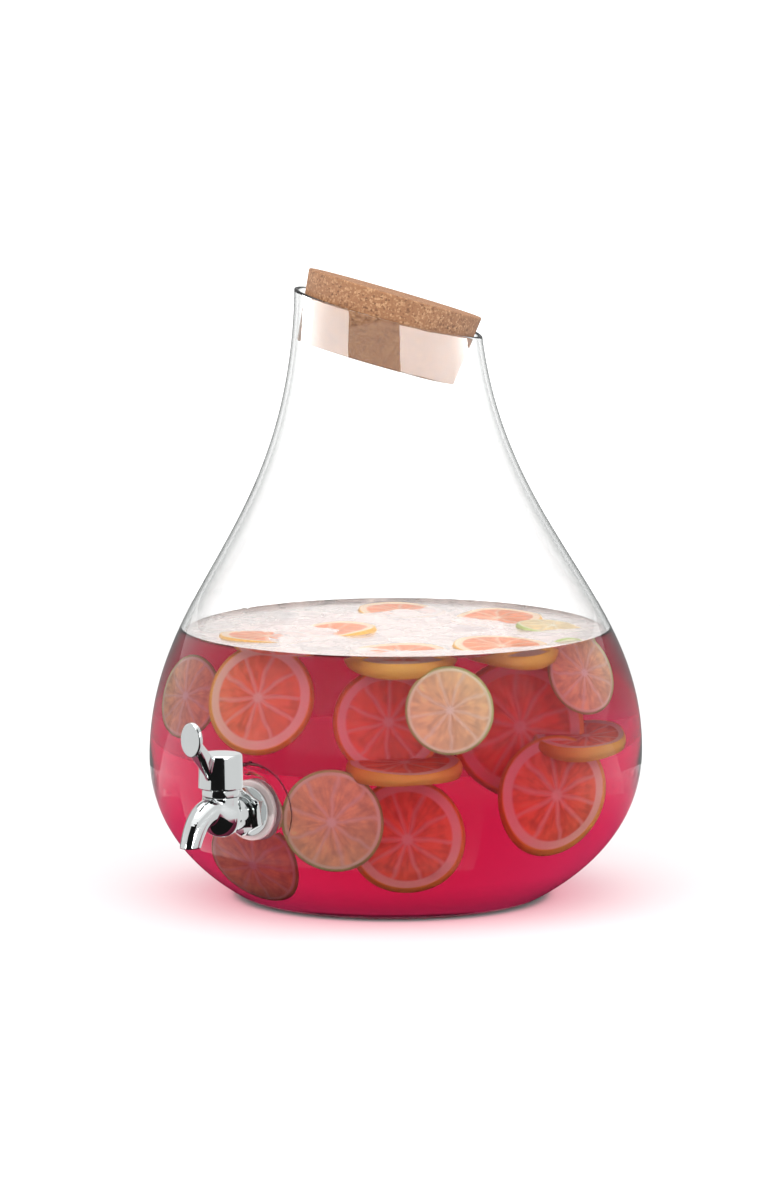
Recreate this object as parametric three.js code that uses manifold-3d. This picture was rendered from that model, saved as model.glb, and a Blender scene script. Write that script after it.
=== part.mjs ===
// Glass drink dispenser: a blown, pear-shaped vessel with a slanted mouth, a tapered cork
// stopper, and a metal spigot with a quarter-turn valve, bolted through a flat seat in the wall.
//
// Millimetres, +Z up. The origin is the centre of the foot's underside. The spigot points
// along -Y, and the low side of the mouth lies LOW_SIDE degrees from +X towards +Y.

import * as THREE from 'three';
import { mergeVertices } from 'three/addons/utils/BufferGeometryUtils.js';
import Module from 'manifold-3d';

// ---------------------------------------------------------------- fits

const TOUCH_GAP = 0.3;         // between two pieces that touch on the real object
const RUNNING_GAP = 0.3;       // between the turning stem and what surrounds it

// ---------------------------------------------------------------- glass vessel

const BELLY_DIAMETER = 290;
const BELLY_HEIGHT = 85;       // height of the widest ring
const BELLY_PULL_DOWN = 50;    // how far the belly stays full below and above that ring
const BELLY_PULL_UP = 97.5;
const FOOT_RADIUS = 86.5;
const HEEL_SLOPE = 27.5;       // degrees, how steeply the wall leaves the foot
const HEEL_PULL = 20;
const NECK_RADIUS = 54.1;
const NECK_HEIGHT = 352;       // where the neck's outline ends
const NECK_SLOPE = 2.3;        // degrees, how much the neck still narrows there
const NECK_PULL = 137;
const MOUTH_DROP = 7;          // middle of the slanted rim, below the end of the neck's outline
const MOUTH_SLANT = 14.5;      // degrees
const LOW_SIDE = 35;           // degrees
const SWAY = 2.8;              // the hand-blown body wanders this far off its axis...
const SWAY_HEIGHT = 240;       // ...one way below this height and the other way above it
const BELLY_WALL = 3.4;
const RIM_WALL = 2.4;
const BASE_THICKNESS = 6;
const FLOOR_EASE = 3;          // how far the floor's corner is eased
const VESSEL_SIDES = 60;
const LOWER_STEPS = 8;
const UPPER_STEPS = 12;

// ---------------------------------------------------------------- cork stopper

const STOPPER_LENGTH = 42.3;
const STOPPER_PROUD = 11.2;    // how much of it stands above the rim
const STOPPER_TAPER = 0.12;    // radius gained per millimetre upwards
const STOPPER_CHAMFER = 1.2;
const STOPPER_FIT = 0.55;      // radial room where it passes the rim
const STOPPER_TILT = 16.2;     // degrees, towards the low side of the mouth
const STOPPER_LEAN = 3.3;      // degrees, across that direction
const STOPPER_SHIFT = 2.0;     // it rests against the low side of the rim
const STOPPER_SIDES = 48;

// ---------------------------------------------------------------- spigot seat and shank

const SPIGOT_HEIGHT = 69;
const SEAT_SINK = 5.2;         // depth of the flat seat below the wall at spigot height
const SEAT_RADIUS = 20;
const SEAT_GLASS = 5;          // glass thickness at the seat
const SEAT_FLARE = 8;          // extra radius where the seat's sides reach the wall
const SEAT_REACH = 15;         // how far out those sides are drawn
const SHANK_RADIUS = 8;
const SHANK_BORE = 4.2;
const SHANK_INSIDE = 17;       // length of shank beyond the seat's inner face
const SHANK_CHAMFER = 0.8;
const SHANK_ROOM = 0.4;        // between the shank and the hole in the glass

const WASHER_RADIUS = 17.5;
const WASHER_THICKNESS = 3.5;
const INNER_WASHER_THICKNESS = 3;
const FLAT_WASHER_RADIUS = 13;
const FLAT_WASHER_THICKNESS = 1.5;
const NUT_FLANGE_RADIUS = 14.5;
const NUT_FLANGE_THICKNESS = 2;
const NUT_ACROSS_FLATS = 24;
const NUT_HEX_LENGTH = 6.4;
const LOCK_NUT_LENGTH = 6;

// ---------------------------------------------------------------- spigot body and valve

const BARREL_RADIUS = 9.3;     // at its shoulder, next to the nut
const BULB_RADIUS = 11.5;      // round the valve
const BARREL_LENGTH = 18.2;    // from the shoulder to the valve's axis
const NECK_RING_RADIUS = 10.6; // body neck and bonnet ring
const BODY_NECK_TOP = 12;      // heights here are measured from the shank's axis
const CHAMBER_RADIUS = 7.6;
const CHAMBER_FLOOR = -6.5;
const CAST_SWELL = 0.5;        // how much the barrel has widened a third of the way along
const SLEEVE_WALL = 1.4;
const SLEEVE_HEIGHT = 12.4;
const PORT_RADIUS = 3.2;
const COLLAR_HEIGHT = 1.6;
const COLLAR_INSET = 0.6;      // collar radius below chamber radius
const THRUST_THICKNESS = 1;
const BONNET_FLANGE = 4;
const STEM_RADIUS = 5.5;
const STEM_TOP_RADIUS = 4;
const STEM_TOP_LENGTH = 13.5;
const O_RING_THICKNESS = 1.3;
const O_RING_RADIUS = 4.95;    // to the middle of the ring's section
const O_RING_PITCH = 2.6;
const GROOVE_WIDTH = 2;

const SPOUT_REACH = 29.3;      // outlet, out from the valve's axis
const SPOUT_DROP = 14;         // outlet, below the shank's axis
const SPOUT_ROOT_RADIUS = 8.3;
const SPOUT_END_RADIUS = 5.8;
const SPOUT_BORE = 4.3;
const SPOUT_OVERRUN = 2.5;     // drawn past the outlet, then cut level
const SPOUT_RISE = 3;          // its line leaves the valve this far above the shank's axis...
const SPOUT_HUMP = 4;          // ...and humps up by this much
const BORE_HUMP = 5;           // its bore leaves level with the shank and humps a little more
const SPOUT_CREST = 0.42;      // share of the reach at which the curve pulls up
const SPOUT_BROW = 0.83;       // share of the reach at which it pulls forward
const BROW_HEIGHT = 4;
const SPOUT_LEAN = 0.3;        // how far forward the outlet still runs as it goes down

// ---------------------------------------------------------------- handle

const CAP_BOTTOM_RADIUS = 12.75;
const CAP_TOP_RADIUS = 12.25;
const CAP_HEIGHT = 20;
const CAP_ROUND = 1.6;
const LEVER_WIDTH = 9;
const LEVER_TIP = 4;           // the gusset's tip, above the cap's bottom edge
const LEVER_BEVEL = 1.4;
const LEVER_TAPER = 0.35;      // width of the gusset's tip, as a share of the lever's
const LEVER_ROOT = 0.4;        // shares of the cap's radius where the lever starts inside it...
const LEVER_CREST = 0.8;       // ...and where its top edge leaves it
const LEVER_GRIP_LOW = 0.4;    // shares of the paddle's height, below its middle...
const LEVER_GRIP_HIGH = 0.15;  // ...and above it, between which the lever meets it
const EDGE_BREAK = 0.4;        // small chamfer on turned edges
const PADDLE_WIDTH = 14;
const PADDLE_HEIGHT = 20;
const PADDLE_THICKNESS = 3;
const PADDLE_REACH = 27.4;     // middle of the paddle, out from the valve's axis
const PADDLE_RISE = 31;        // middle of the paddle, above the cap's bottom edge
const SCREW_RADIUS = 1.5;
const SCREW_HEIGHT = 8;        // above the cap's bottom edge
const SCREW_SOCKET = 0.8;
const SCREW_SOCKET_DEPTH = 2;
const SCREW_SUNK = 0.6;        // its outer end, below the cap's surface

// ---------------------------------------------------------------- materials

function finish(color, roughness, metalness) {
  return new THREE.MeshStandardMaterial({ color, roughness, metalness });
}

const clearGlass = finish(0xdfe8e4, 0.04, 0);
clearGlass.transparent = true;
clearGlass.opacity = 0.35;
const cork = finish(0xc59a6b, 0.9, 0);
const polishedSteel = finish(0xd3d5d6, 0.1, 1);
const plainSteel = finish(0xb4b7b9, 0.35, 1);
const silicone = finish(0xe9e4e1, 0.5, 0);
const darkRubber = finish(0x2b2b2c, 0.6, 0);
const whiteNylon = finish(0xefece4, 0.45, 0);

// ---------------------------------------------------------------- solids

const wasm = await Module();
wasm.setup();

// Position-only copy with shared vertices merged and collapsed triangles left out.
function welded(geometry) {
  const bare = geometry.clone();
  bare.deleteAttribute('normal');
  bare.deleteAttribute('uv');
  const merged = mergeVertices(bare, 1e-4);
  const kept = [];
  const index = merged.index.array;
  for (let i = 0; i < index.length; i += 3) {
    const [a, b, c] = [index[i], index[i + 1], index[i + 2]];
    if (a !== b && b !== c && c !== a) kept.push(a, b, c);
  }
  merged.setIndex(kept);
  return merged;
}

function solid(geometry) {
  const merged = welded(geometry);
  return new wasm.Manifold(new wasm.Mesh({
    numProp: 3,
    vertProperties: merged.attributes.position.array,
    triVerts: Uint32Array.from(merged.index.array),
  }));
}

function geometryOf(manifold) {
  const cut = manifold.getMesh();
  const geometry = new THREE.BufferGeometry();
  geometry.setAttribute('position', new THREE.BufferAttribute(cut.vertProperties, 3));
  geometry.setIndex(new THREE.BufferAttribute(cut.triVerts, 1));
  geometry.computeVertexNormals();
  return geometry;
}

function piece(name, shape, material) {
  const geometry = shape instanceof wasm.Manifold ? geometryOf(shape) : welded(shape);
  const mesh = new THREE.Mesh(geometry, material);
  mesh.name = name;
  return mesh;
}

// Outlines are lists of [radius, height], counter-clockwise, from the axis back to the axis or
// closed on themselves. LatheGeometry turns them about Y; upright pieces are then stood on Z.
function turnedAboutY(outline, sides) {
  const points = outline.map(([radius, height]) => new THREE.Vector2(radius, height));
  return new THREE.LatheGeometry(points, sides);
}

function turned(outline, sides) {
  return turnedAboutY(outline, sides).rotateX(Math.PI / 2);
}

// Spigot pieces are turned about the shank, whose outward direction is -Y.
function turnedOutward(outline, sides) {
  return turnedAboutY(outline, sides).rotateX(Math.PI);
}

function ring(inner, outer, low, high) {
  return [[inner, low], [outer, low], [outer, high], [inner, high], [inner, low]];
}

function rod(radius, low, high) {
  return [[0, low], [radius, low], [radius, high], [0, high]];
}

function arc(centre, radius, fromDegrees, toDegrees, steps) {
  const points = [];
  for (let i = 0; i <= steps; i += 1) {
    const angle = THREE.MathUtils.degToRad(fromDegrees + (toDegrees - fromDegrees) * i / steps);
    points.push([centre[0] + radius * Math.cos(angle), centre[1] + radius * Math.sin(angle)]);
  }
  return points;
}

// ---------------------------------------------------------------- vessel outline

const degrees = THREE.MathUtils.degToRad;
const bellyRadius = BELLY_DIAMETER / 2;
const lowerOutline = new THREE.CubicBezierCurve(
  new THREE.Vector2(FOOT_RADIUS, 0),
  new THREE.Vector2(
    FOOT_RADIUS + HEEL_PULL * Math.cos(degrees(HEEL_SLOPE)),
    HEEL_PULL * Math.sin(degrees(HEEL_SLOPE)),
  ),
  new THREE.Vector2(bellyRadius, BELLY_HEIGHT - BELLY_PULL_DOWN),
  new THREE.Vector2(bellyRadius, BELLY_HEIGHT),
);
const upperOutline = new THREE.CubicBezierCurve(
  new THREE.Vector2(bellyRadius, BELLY_HEIGHT),
  new THREE.Vector2(bellyRadius, BELLY_HEIGHT + BELLY_PULL_UP),
  new THREE.Vector2(
    NECK_RADIUS + NECK_PULL * Math.sin(degrees(NECK_SLOPE)),
    NECK_HEIGHT - NECK_PULL * Math.cos(degrees(NECK_SLOPE)),
  ),
  new THREE.Vector2(NECK_RADIUS, NECK_HEIGHT),
);

// Points up the wall, moved inwards by the given share of the local glass thickness.
function wallPoints(share) {
  const points = [];
  const curves = [[lowerOutline, LOWER_STEPS, 0], [upperOutline, UPPER_STEPS, 1]];
  for (const [curve, steps, first] of curves) {
    for (let i = first; i <= steps; i += 1) {
      const place = curve.getPoint(i / steps);
      const along = curve.getTangent(i / steps);
      const glass = THREE.MathUtils.lerp(BELLY_WALL, RIM_WALL, Math.min(1, place.y / NECK_HEIGHT));
      points.push([place.x - along.y * glass * share, place.y + along.x * glass * share]);
    }
  }
  return points;
}

function wallRadiusAt(height) {
  const curve = height < BELLY_HEIGHT ? lowerOutline : upperOutline;
  let [low, high] = [0, 1];
  for (let i = 0; i < 40; i += 1) {
    const middle = (low + high) / 2;
    if (curve.getPoint(middle).y < height) low = middle;
    else high = middle;
  }
  return curve.getPoint(low).x;
}

// How far the body's middle stands towards the low side of the mouth at a height.
function swayAt(height) {
  return SWAY * Math.sin(Math.PI * height / SWAY_HEIGHT);
}

const lowSideX = Math.cos(degrees(LOW_SIDE));
const lowSideY = Math.sin(degrees(LOW_SIDE));

function swayed(geometry) {
  const place = geometry.attributes.position;
  for (let i = 0; i < place.count; i += 1) {
    const sway = swayAt(place.getZ(i));
    place.setXY(i, place.getX(i) + sway * lowSideX, place.getY(i) + sway * lowSideY);
  }
  return geometry;
}

// ---------------------------------------------------------------- places worked out from sizes

const mouthHeight = NECK_HEIGHT - MOUTH_DROP;
const mouthRadius = NECK_RADIUS - RIM_WALL;
const neckHeadroom = 2 * NECK_RADIUS * Math.tan(degrees(MOUTH_SLANT));
const rawTop = NECK_HEIGHT + neckHeadroom;
const seatReach = wallRadiusAt(SPIGOT_HEIGHT) - SEAT_SINK;
const holeRadius = SHANK_RADIUS + TOUCH_GAP;

// Along the shank, outwards from the seat's outer face.
const nutStart = TOUCH_GAP + WASHER_THICKNESS + TOUCH_GAP;
const hexStart = nutStart + NUT_FLANGE_THICKNESS;
const hexEnd = hexStart + NUT_HEX_LENGTH;
const shoulder = hexEnd + TOUCH_GAP;
const valveReach = shoulder + BARREL_LENGTH;
const shankEnd = -(SEAT_GLASS + SHANK_INSIDE);

// Up the valve's axis, from the shank's axis.
const sleeveFloor = CHAMBER_FLOOR + TOUCH_GAP;
const sleeveTop = sleeveFloor + SLEEVE_HEIGHT;
const sleeveOuter = CHAMBER_RADIUS - TOUCH_GAP;
const sleeveInner = sleeveOuter - SLEEVE_WALL;
const plugRadius = sleeveInner - RUNNING_GAP;
const plugFloor = sleeveFloor + TOUCH_GAP;
const collarFloor = sleeveTop + RUNNING_GAP;
const collarTop = collarFloor + COLLAR_HEIGHT;
const thrustFloor = collarTop + TOUCH_GAP;
const thrustTop = thrustFloor + THRUST_THICKNESS;
const bonnetFloor = thrustTop + TOUCH_GAP;
const bonnetSeat = BODY_NECK_TOP + TOUCH_GAP;
const bonnetTop = bonnetSeat + BONNET_FLANGE;
const stemBore = STEM_RADIUS + RUNNING_GAP;
const capFloor = bonnetTop + TOUCH_GAP;
const capBore = STEM_TOP_RADIUS + TOUCH_GAP;
const stemTop = capFloor + STEM_TOP_LENGTH;

// ---------------------------------------------------------------- glass vessel

function vessel() {
  const outer = solid(swayed(turned(
    [[0, 0], ...wallPoints(0), [NECK_RADIUS, rawTop], [0, rawTop]],
    VESSEL_SIDES,
  )));
  const inside = wallPoints(1).filter(([, height]) => height > BASE_THICKNESS + 1);
  const lining = inside[inside.length - 1][0];
  const hollow = solid(swayed(turned(
    [[0, BASE_THICKNESS], [inside[0][0] - FLOOR_EASE, BASE_THICKNESS], ...inside,
      [lining, rawTop + 1], [0, rawTop + 1]],
    VESSEL_SIDES,
  )));

  const atSeat = (outline) => solid(
    turnedOutward(outline, VESSEL_SIDES / 2).translate(0, -seatReach, SPIGOT_HEIGHT),
  );
  const seatWalls = atSeat([
    [0, -SEAT_GLASS], [SEAT_RADIUS + SEAT_GLASS, -SEAT_GLASS],
    [SEAT_RADIUS + SEAT_GLASS + SEAT_FLARE, SEAT_REACH], [0, SEAT_REACH],
  ]).intersect(outer);
  const seatBoss = atSeat([
    [0, -SEAT_GLASS], [SEAT_RADIUS + SEAT_GLASS, -SEAT_GLASS], [SEAT_RADIUS, 0], [0, 0],
  ]);
  const seatRecess = atSeat([
    [0, 0], [SEAT_RADIUS, 0], [SEAT_RADIUS + SEAT_FLARE, SEAT_REACH], [0, SEAT_REACH],
  ]);
  const seatLining = atSeat(rod(SEAT_RADIUS, -SEAT_GLASS - SEAT_REACH, -SEAT_GLASS));
  const hole = atSeat(rod(SHANK_RADIUS + SHANK_ROOM, -SEAT_GLASS - 1, 1));

  const aboveMouth = solid(
    new THREE.BoxGeometry(4 * NECK_RADIUS, 4 * NECK_RADIUS, 2 * neckHeadroom + 2 * NECK_RADIUS)
      .translate(0, 0, neckHeadroom + NECK_RADIUS)
      .rotateY(degrees(MOUTH_SLANT))
      .translate(swayAt(mouthHeight), 0, mouthHeight)
      .rotateZ(degrees(LOW_SIDE)),
  );
  return outer.subtract(hollow).add(seatWalls).add(seatBoss)
    .subtract(seatRecess).subtract(seatLining).subtract(hole).subtract(aboveMouth);
}

// ---------------------------------------------------------------- cork stopper

function stopper() {
  const atRim = mouthRadius - STOPPER_FIT;
  const low = atRim - STOPPER_TAPER * (STOPPER_LENGTH - STOPPER_PROUD);
  const high = atRim + STOPPER_TAPER * STOPPER_PROUD;
  return turned([
    [0, 0], [low - STOPPER_CHAMFER, 0], [low, STOPPER_CHAMFER],
    [high, STOPPER_LENGTH - STOPPER_CHAMFER], [high - STOPPER_CHAMFER, STOPPER_LENGTH],
    [0, STOPPER_LENGTH],
  ], STOPPER_SIDES);
}

// ---------------------------------------------------------------- along the shank

function washer(outerRadius, start, thickness) {
  return turnedOutward(ring(holeRadius, outerRadius, start, start + thickness), 40);
}

// Six-sided prism along the shank, with two upright flats.
function hexPrism(start, length) {
  const corner = NUT_ACROSS_FLATS / 2 / Math.cos(Math.PI / 6);
  return solid(turnedOutward(rod(corner, start, start + length), 6));
}

function flangeNut() {
  const flange = solid(turnedOutward(
    rod(NUT_FLANGE_RADIUS, nutStart, nutStart + NUT_FLANGE_THICKNESS), 40));
  const bore = solid(turnedOutward(rod(holeRadius, nutStart - 1, hexEnd + 1), 40));
  return flange.add(hexPrism(nutStart, NUT_FLANGE_THICKNESS + NUT_HEX_LENGTH)).subtract(bore);
}

function lockNut(start) {
  const bore = solid(turnedOutward(rod(holeRadius, start - 1, start + LOCK_NUT_LENGTH + 1), 40));
  return hexPrism(start, LOCK_NUT_LENGTH).subtract(bore);
}

// ---------------------------------------------------------------- spigot body

// A tapered round bar, drawn straight and then bent along a curve in the Y-Z plane.
function bentBar(curve, startRadius, endRadius, sides, steps) {
  const bar = new THREE.CylinderGeometry(endRadius, startRadius, 1, sides, steps);
  const place = bar.attributes.position;
  const point = new THREE.Vector3();
  const along = new THREE.Vector3();
  const across = new THREE.Vector3(1, 0, 0);
  const up = new THREE.Vector3();
  for (let i = 0; i < place.count; i += 1) {
    const share = place.getY(i) + 0.5;
    curve.getPoint(share, point);
    curve.getTangent(share, along);
    up.crossVectors(across, along);
    point.addScaledVector(across, place.getX(i)).addScaledVector(up, place.getZ(i));
    place.setXYZ(i, point.x, point.y, point.z);
  }
  return solid(bar);
}

// The spout leaves the bulb a little above the shank's axis, humps forward and turns down.
function spoutCurve(rootHeight, hump) {
  const outlet = -SPOUT_DROP - SPOUT_OVERRUN;
  return new THREE.CubicBezierCurve3(
    new THREE.Vector3(0, -valveReach, rootHeight),
    new THREE.Vector3(0, -valveReach - SPOUT_CREST * SPOUT_REACH, rootHeight + hump),
    new THREE.Vector3(0, -valveReach - SPOUT_BROW * SPOUT_REACH, BROW_HEIGHT),
    new THREE.Vector3(0, -valveReach - SPOUT_REACH - SPOUT_LEAN * SPOUT_OVERRUN, outlet),
  );
}

function spoutBody() {
  const barrel = solid(turnedOutward([
    [0, shankEnd], [SHANK_RADIUS - SHANK_CHAMFER, shankEnd],
    [SHANK_RADIUS, shankEnd + SHANK_CHAMFER], [SHANK_RADIUS, shoulder],
    [BARREL_RADIUS, shoulder], [BARREL_RADIUS + CAST_SWELL, shoulder + BARREL_LENGTH / 3],
    ...arc([0, valveReach], BULB_RADIUS, 0, 90, 6),
  ], 40));
  const atValve = (outline, sides) => solid(turned(outline, sides).translate(0, -valveReach, 0));
  const neck = atValve(rod(NECK_RING_RADIUS, 0, BODY_NECK_TOP), 40);
  const spout = bentBar(spoutCurve(SPOUT_RISE, SPOUT_HUMP), SPOUT_ROOT_RADIUS, SPOUT_END_RADIUS, 24, 12);

  const chamber = atValve(rod(CHAMBER_RADIUS, CHAMBER_FLOOR, BODY_NECK_TOP + 1), 36);
  const shankBore = solid(turnedOutward(rod(SHANK_BORE, shankEnd - 1, valveReach), 28));
  const spoutBore = bentBar(spoutCurve(0, BORE_HUMP), PORT_RADIUS, SPOUT_BORE, 18, 12);
  // The outlet and the top of the neck are both faced off level.
  const trim = (height) => solid(
    new THREE.BoxGeometry(4 * BULB_RADIUS, 2 * (valveReach + SPOUT_REACH), 4 * BULB_RADIUS)
      .translate(0, -valveReach - SPOUT_REACH, height),
  );
  return barrel.add(neck).add(spout)
    .subtract(chamber).subtract(shankBore).subtract(spoutBore)
    .subtract(trim(BODY_NECK_TOP + 2 * BULB_RADIUS))
    .subtract(trim(-SPOUT_DROP - 2 * BULB_RADIUS));
}

// ---------------------------------------------------------------- valve

// Round bar lying along X or Y through the valve, used to cut ports.
function crossBar(radius, halfLength, alongX) {
  const bar = turnedOutward(rod(radius, -halfLength, halfLength), 24);
  return solid(alongX ? bar.rotateZ(Math.PI / 2) : bar);
}

function valveSleeve() {
  const tube = solid(turned(ring(sleeveInner, sleeveOuter, sleeveFloor, sleeveTop), 36));
  return tube.subtract(crossBar(PORT_RADIUS, 2 * sleeveOuter, false));
}

const lowerRing = bonnetFloor + O_RING_PITCH - THRUST_THICKNESS / 2;
const upperRing = lowerRing + O_RING_PITCH;

// Plug, collar and stem in one turning; the port lies across the flow while the valve is shut.
function valvePlug() {
  const grooveFloor = O_RING_RADIUS - O_RING_THICKNESS / 2 - TOUCH_GAP;
  const groove = (height) => [
    [STEM_RADIUS, height - GROOVE_WIDTH / 2], [grooveFloor, height - GROOVE_WIDTH / 2],
    [grooveFloor, height + GROOVE_WIDTH / 2], [STEM_RADIUS, height + GROOVE_WIDTH / 2],
  ];
  const turning = solid(turned([
    [0, plugFloor], [plugRadius, plugFloor], [plugRadius, collarFloor],
    [CHAMBER_RADIUS - COLLAR_INSET, collarFloor], [CHAMBER_RADIUS - COLLAR_INSET, collarTop],
    [STEM_RADIUS, collarTop], ...groove(lowerRing), ...groove(upperRing),
    [STEM_RADIUS, bonnetTop], [STEM_TOP_RADIUS, bonnetTop], [STEM_TOP_RADIUS, stemTop],
    [0, stemTop],
  ], 36));
  return turning.subtract(crossBar(PORT_RADIUS, 2 * plugRadius, true));
}

function oRing(height) {
  return new THREE.TorusGeometry(O_RING_RADIUS, O_RING_THICKNESS / 2, 8, 24)
    .translate(0, 0, height);
}

function bonnetRing() {
  const insert = CHAMBER_RADIUS - TOUCH_GAP;
  return turned([
    [stemBore, bonnetFloor], [insert, bonnetFloor], [insert, bonnetSeat],
    [NECK_RING_RADIUS, bonnetSeat], [NECK_RING_RADIUS, bonnetTop - EDGE_BREAK],
    [NECK_RING_RADIUS - EDGE_BREAK, bonnetTop], [stemBore, bonnetTop], [stemBore, bonnetFloor],
  ], 40);
}

// ---------------------------------------------------------------- handle

function leverBlade() {
  const capFront = CAP_TOP_RADIUS;
  const capTop = capFloor + CAP_HEIGHT;
  const tip = capFloor + LEVER_TIP;
  const paddleBack = PADDLE_REACH - PADDLE_THICKNESS / 2;
  const paddleMiddle = capFloor + PADDLE_RISE;
  // Side outline: reach from the valve's axis, height.
  const outline = new THREE.Shape([
    [LEVER_ROOT * capFront, tip + LEVER_BEVEL], [capFront, tip + LEVER_BEVEL],
    [paddleBack + 1, paddleMiddle - LEVER_GRIP_LOW * PADDLE_HEIGHT],
    [paddleBack + 1, paddleMiddle + LEVER_GRIP_HIGH * PADDLE_HEIGHT],
    [LEVER_CREST * capFront, capTop - CAP_ROUND], [LEVER_ROOT * capFront, capTop - CAP_ROUND],
  ].map(([reach, height]) => new THREE.Vector2(reach, height)));
  const flat = LEVER_WIDTH - 2 * LEVER_BEVEL;
  const blade = new THREE.ExtrudeGeometry(outline, {
    depth: flat, bevelEnabled: true, bevelThickness: LEVER_BEVEL, bevelSize: LEVER_BEVEL,
    bevelOffset: -LEVER_BEVEL, bevelSegments: 3, steps: 1,
  }).translate(0, 0, -flat / 2);
  // The blade narrows to a gusset at its lower end.
  const place = blade.attributes.position;
  for (let i = 0; i < place.count; i += 1) {
    const rise = THREE.MathUtils.clamp((place.getY(i) - tip) / (capTop - tip), 0, 1);
    place.setZ(i, place.getZ(i) * THREE.MathUtils.lerp(LEVER_TAPER, 1, rise));
  }
  // Stand it up: reach runs along -Y, height along Z, width along X.
  blade.rotateX(Math.PI / 2).rotateZ(-Math.PI / 2);
  return solid(blade);
}

function paddle() {
  const oval = new THREE.Shape().absellipse(
    0, 0, PADDLE_WIDTH / 2, PADDLE_HEIGHT / 2, 0, 2 * Math.PI, false, 0);
  const bevel = PADDLE_THICKNESS / 4;
  const plate = new THREE.ExtrudeGeometry(oval, {
    depth: PADDLE_THICKNESS - 2 * bevel, bevelEnabled: true, bevelThickness: bevel,
    bevelSize: bevel, bevelOffset: -bevel, bevelSegments: 3, curveSegments: 28,
  }).translate(0, 0, -PADDLE_THICKNESS / 2 + bevel);
  return solid(plate.rotateX(Math.PI / 2)
    .translate(0, -PADDLE_REACH, capFloor + PADDLE_RISE));
}

function screwBar(radius, start, end, sides) {
  return solid(turnedAboutY(rod(radius, start, end), sides)
    .translate(0, 0, capFloor + SCREW_HEIGHT));
}

function handle() {
  const capTop = capFloor + CAP_HEIGHT;
  const cap = solid(turned([
    [0, capFloor], [CAP_BOTTOM_RADIUS - EDGE_BREAK, capFloor],
    [CAP_BOTTOM_RADIUS, capFloor + EDGE_BREAK],
    ...arc([CAP_TOP_RADIUS - CAP_ROUND, capTop - CAP_ROUND], CAP_ROUND, 0, 90, 4),
    [0, capTop],
  ], 44));
  const stemHole = solid(turned(rod(capBore, capFloor - 1, stemTop + TOUCH_GAP), 36));
  const screwHole = screwBar(SCREW_RADIUS + TOUCH_GAP, 0, CAP_BOTTOM_RADIUS + 1, 16);
  return cap.add(leverBlade()).add(paddle()).subtract(stemHole).subtract(screwHole);
}

function grubScrew() {
  const start = STEM_TOP_RADIUS + TOUCH_GAP;
  const end = CAP_TOP_RADIUS - SCREW_SUNK;
  const socket = screwBar(SCREW_SOCKET, end - SCREW_SOCKET_DEPTH, end + 1, 6);
  return screwBar(SCREW_RADIUS, start, end, 16).subtract(socket);
}

// ---------------------------------------------------------------- assembly

const dispenser = new THREE.Group();
dispenser.add(piece('glass_vessel', vessel(), clearGlass));

// The mouth's own frame: its X axis leans down the slant, towards the low side.
const mouth = new THREE.Group();
mouth.rotation.z = degrees(LOW_SIDE);
// A leaning cone is wider on the side it leans to, so it is set back by that much.
const stopperSetBack = mouthRadius * STOPPER_TAPER * Math.tan(degrees(STOPPER_LEAN));
const stopperSeat = new THREE.Group();
stopperSeat.position.set(swayAt(mouthHeight) + STOPPER_SHIFT, -stopperSetBack, mouthHeight);
stopperSeat.rotation.set(-degrees(STOPPER_LEAN), degrees(STOPPER_TILT), 0, 'YXZ');
const corkStopper = piece('cork_stopper', stopper(), cork);
corkStopper.position.z = STOPPER_PROUD - STOPPER_LENGTH;
stopperSeat.add(corkStopper);
mouth.add(stopperSeat);
dispenser.add(mouth);

// Spigot frame: on the shank's axis, at the seat's outer face.
const spigot = new THREE.Group();
spigot.position.set(0, -seatReach, SPIGOT_HEIGHT);
const innerStart = -SEAT_GLASS - TOUCH_GAP - INNER_WASHER_THICKNESS;
const flatStart = innerStart - TOUCH_GAP - FLAT_WASHER_THICKNESS;
const lockStart = flatStart - TOUCH_GAP - LOCK_NUT_LENGTH;
spigot.add(piece('outer_washer', washer(WASHER_RADIUS, TOUCH_GAP, WASHER_THICKNESS), silicone));
spigot.add(piece('outer_flange_nut', flangeNut(), polishedSteel));
spigot.add(piece('inner_washer', washer(WASHER_RADIUS, innerStart, INNER_WASHER_THICKNESS), silicone));
spigot.add(piece('inner_flat_washer',
  washer(FLAT_WASHER_RADIUS, flatStart, FLAT_WASHER_THICKNESS), plainSteel));
spigot.add(piece('lock_nut', lockNut(lockStart), plainSteel));
spigot.add(piece('spout_body', spoutBody(), polishedSteel));
dispenser.add(spigot);

// Valve frame: on the valve's upright axis, at the height of the shank's axis.
const valve = new THREE.Group();
valve.position.set(0, -valveReach, 0);
valve.add(piece('valve_sleeve', valveSleeve(), silicone));
valve.add(piece('valve_plug', valvePlug(), plainSteel));
valve.add(piece('stem_o_ring_lower', oRing(lowerRing), darkRubber));
valve.add(piece('stem_o_ring_upper', oRing(upperRing), darkRubber));
valve.add(piece('thrust_washer',
  turned(ring(stemBore, CHAMBER_RADIUS - TOUCH_GAP, thrustFloor, thrustTop), 36), whiteNylon));
valve.add(piece('bonnet_ring', bonnetRing(), polishedSteel));
valve.add(piece('handle', handle(), polishedSteel));
valve.add(piece('handle_grub_screw', grubScrew(), plainSteel));
spigot.add(valve);

export default dispenser;
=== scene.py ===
"""Glass drink dispenser: finished surfaces and contents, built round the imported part.

The file is laid out as an add-on: settings, one operator for each piece or group of like
pieces, a sidebar panel that lists them, and main(), which runs them in order. Lengths are
metres, in the part's own frame: +Z up, the spigot along -Y, and the origin under the foot.
"""

import math

import bmesh
import bpy
import numpy as np
from bpy.props import FloatProperty, FloatVectorProperty, PointerProperty
from mathutils import Matrix, Vector


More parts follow.
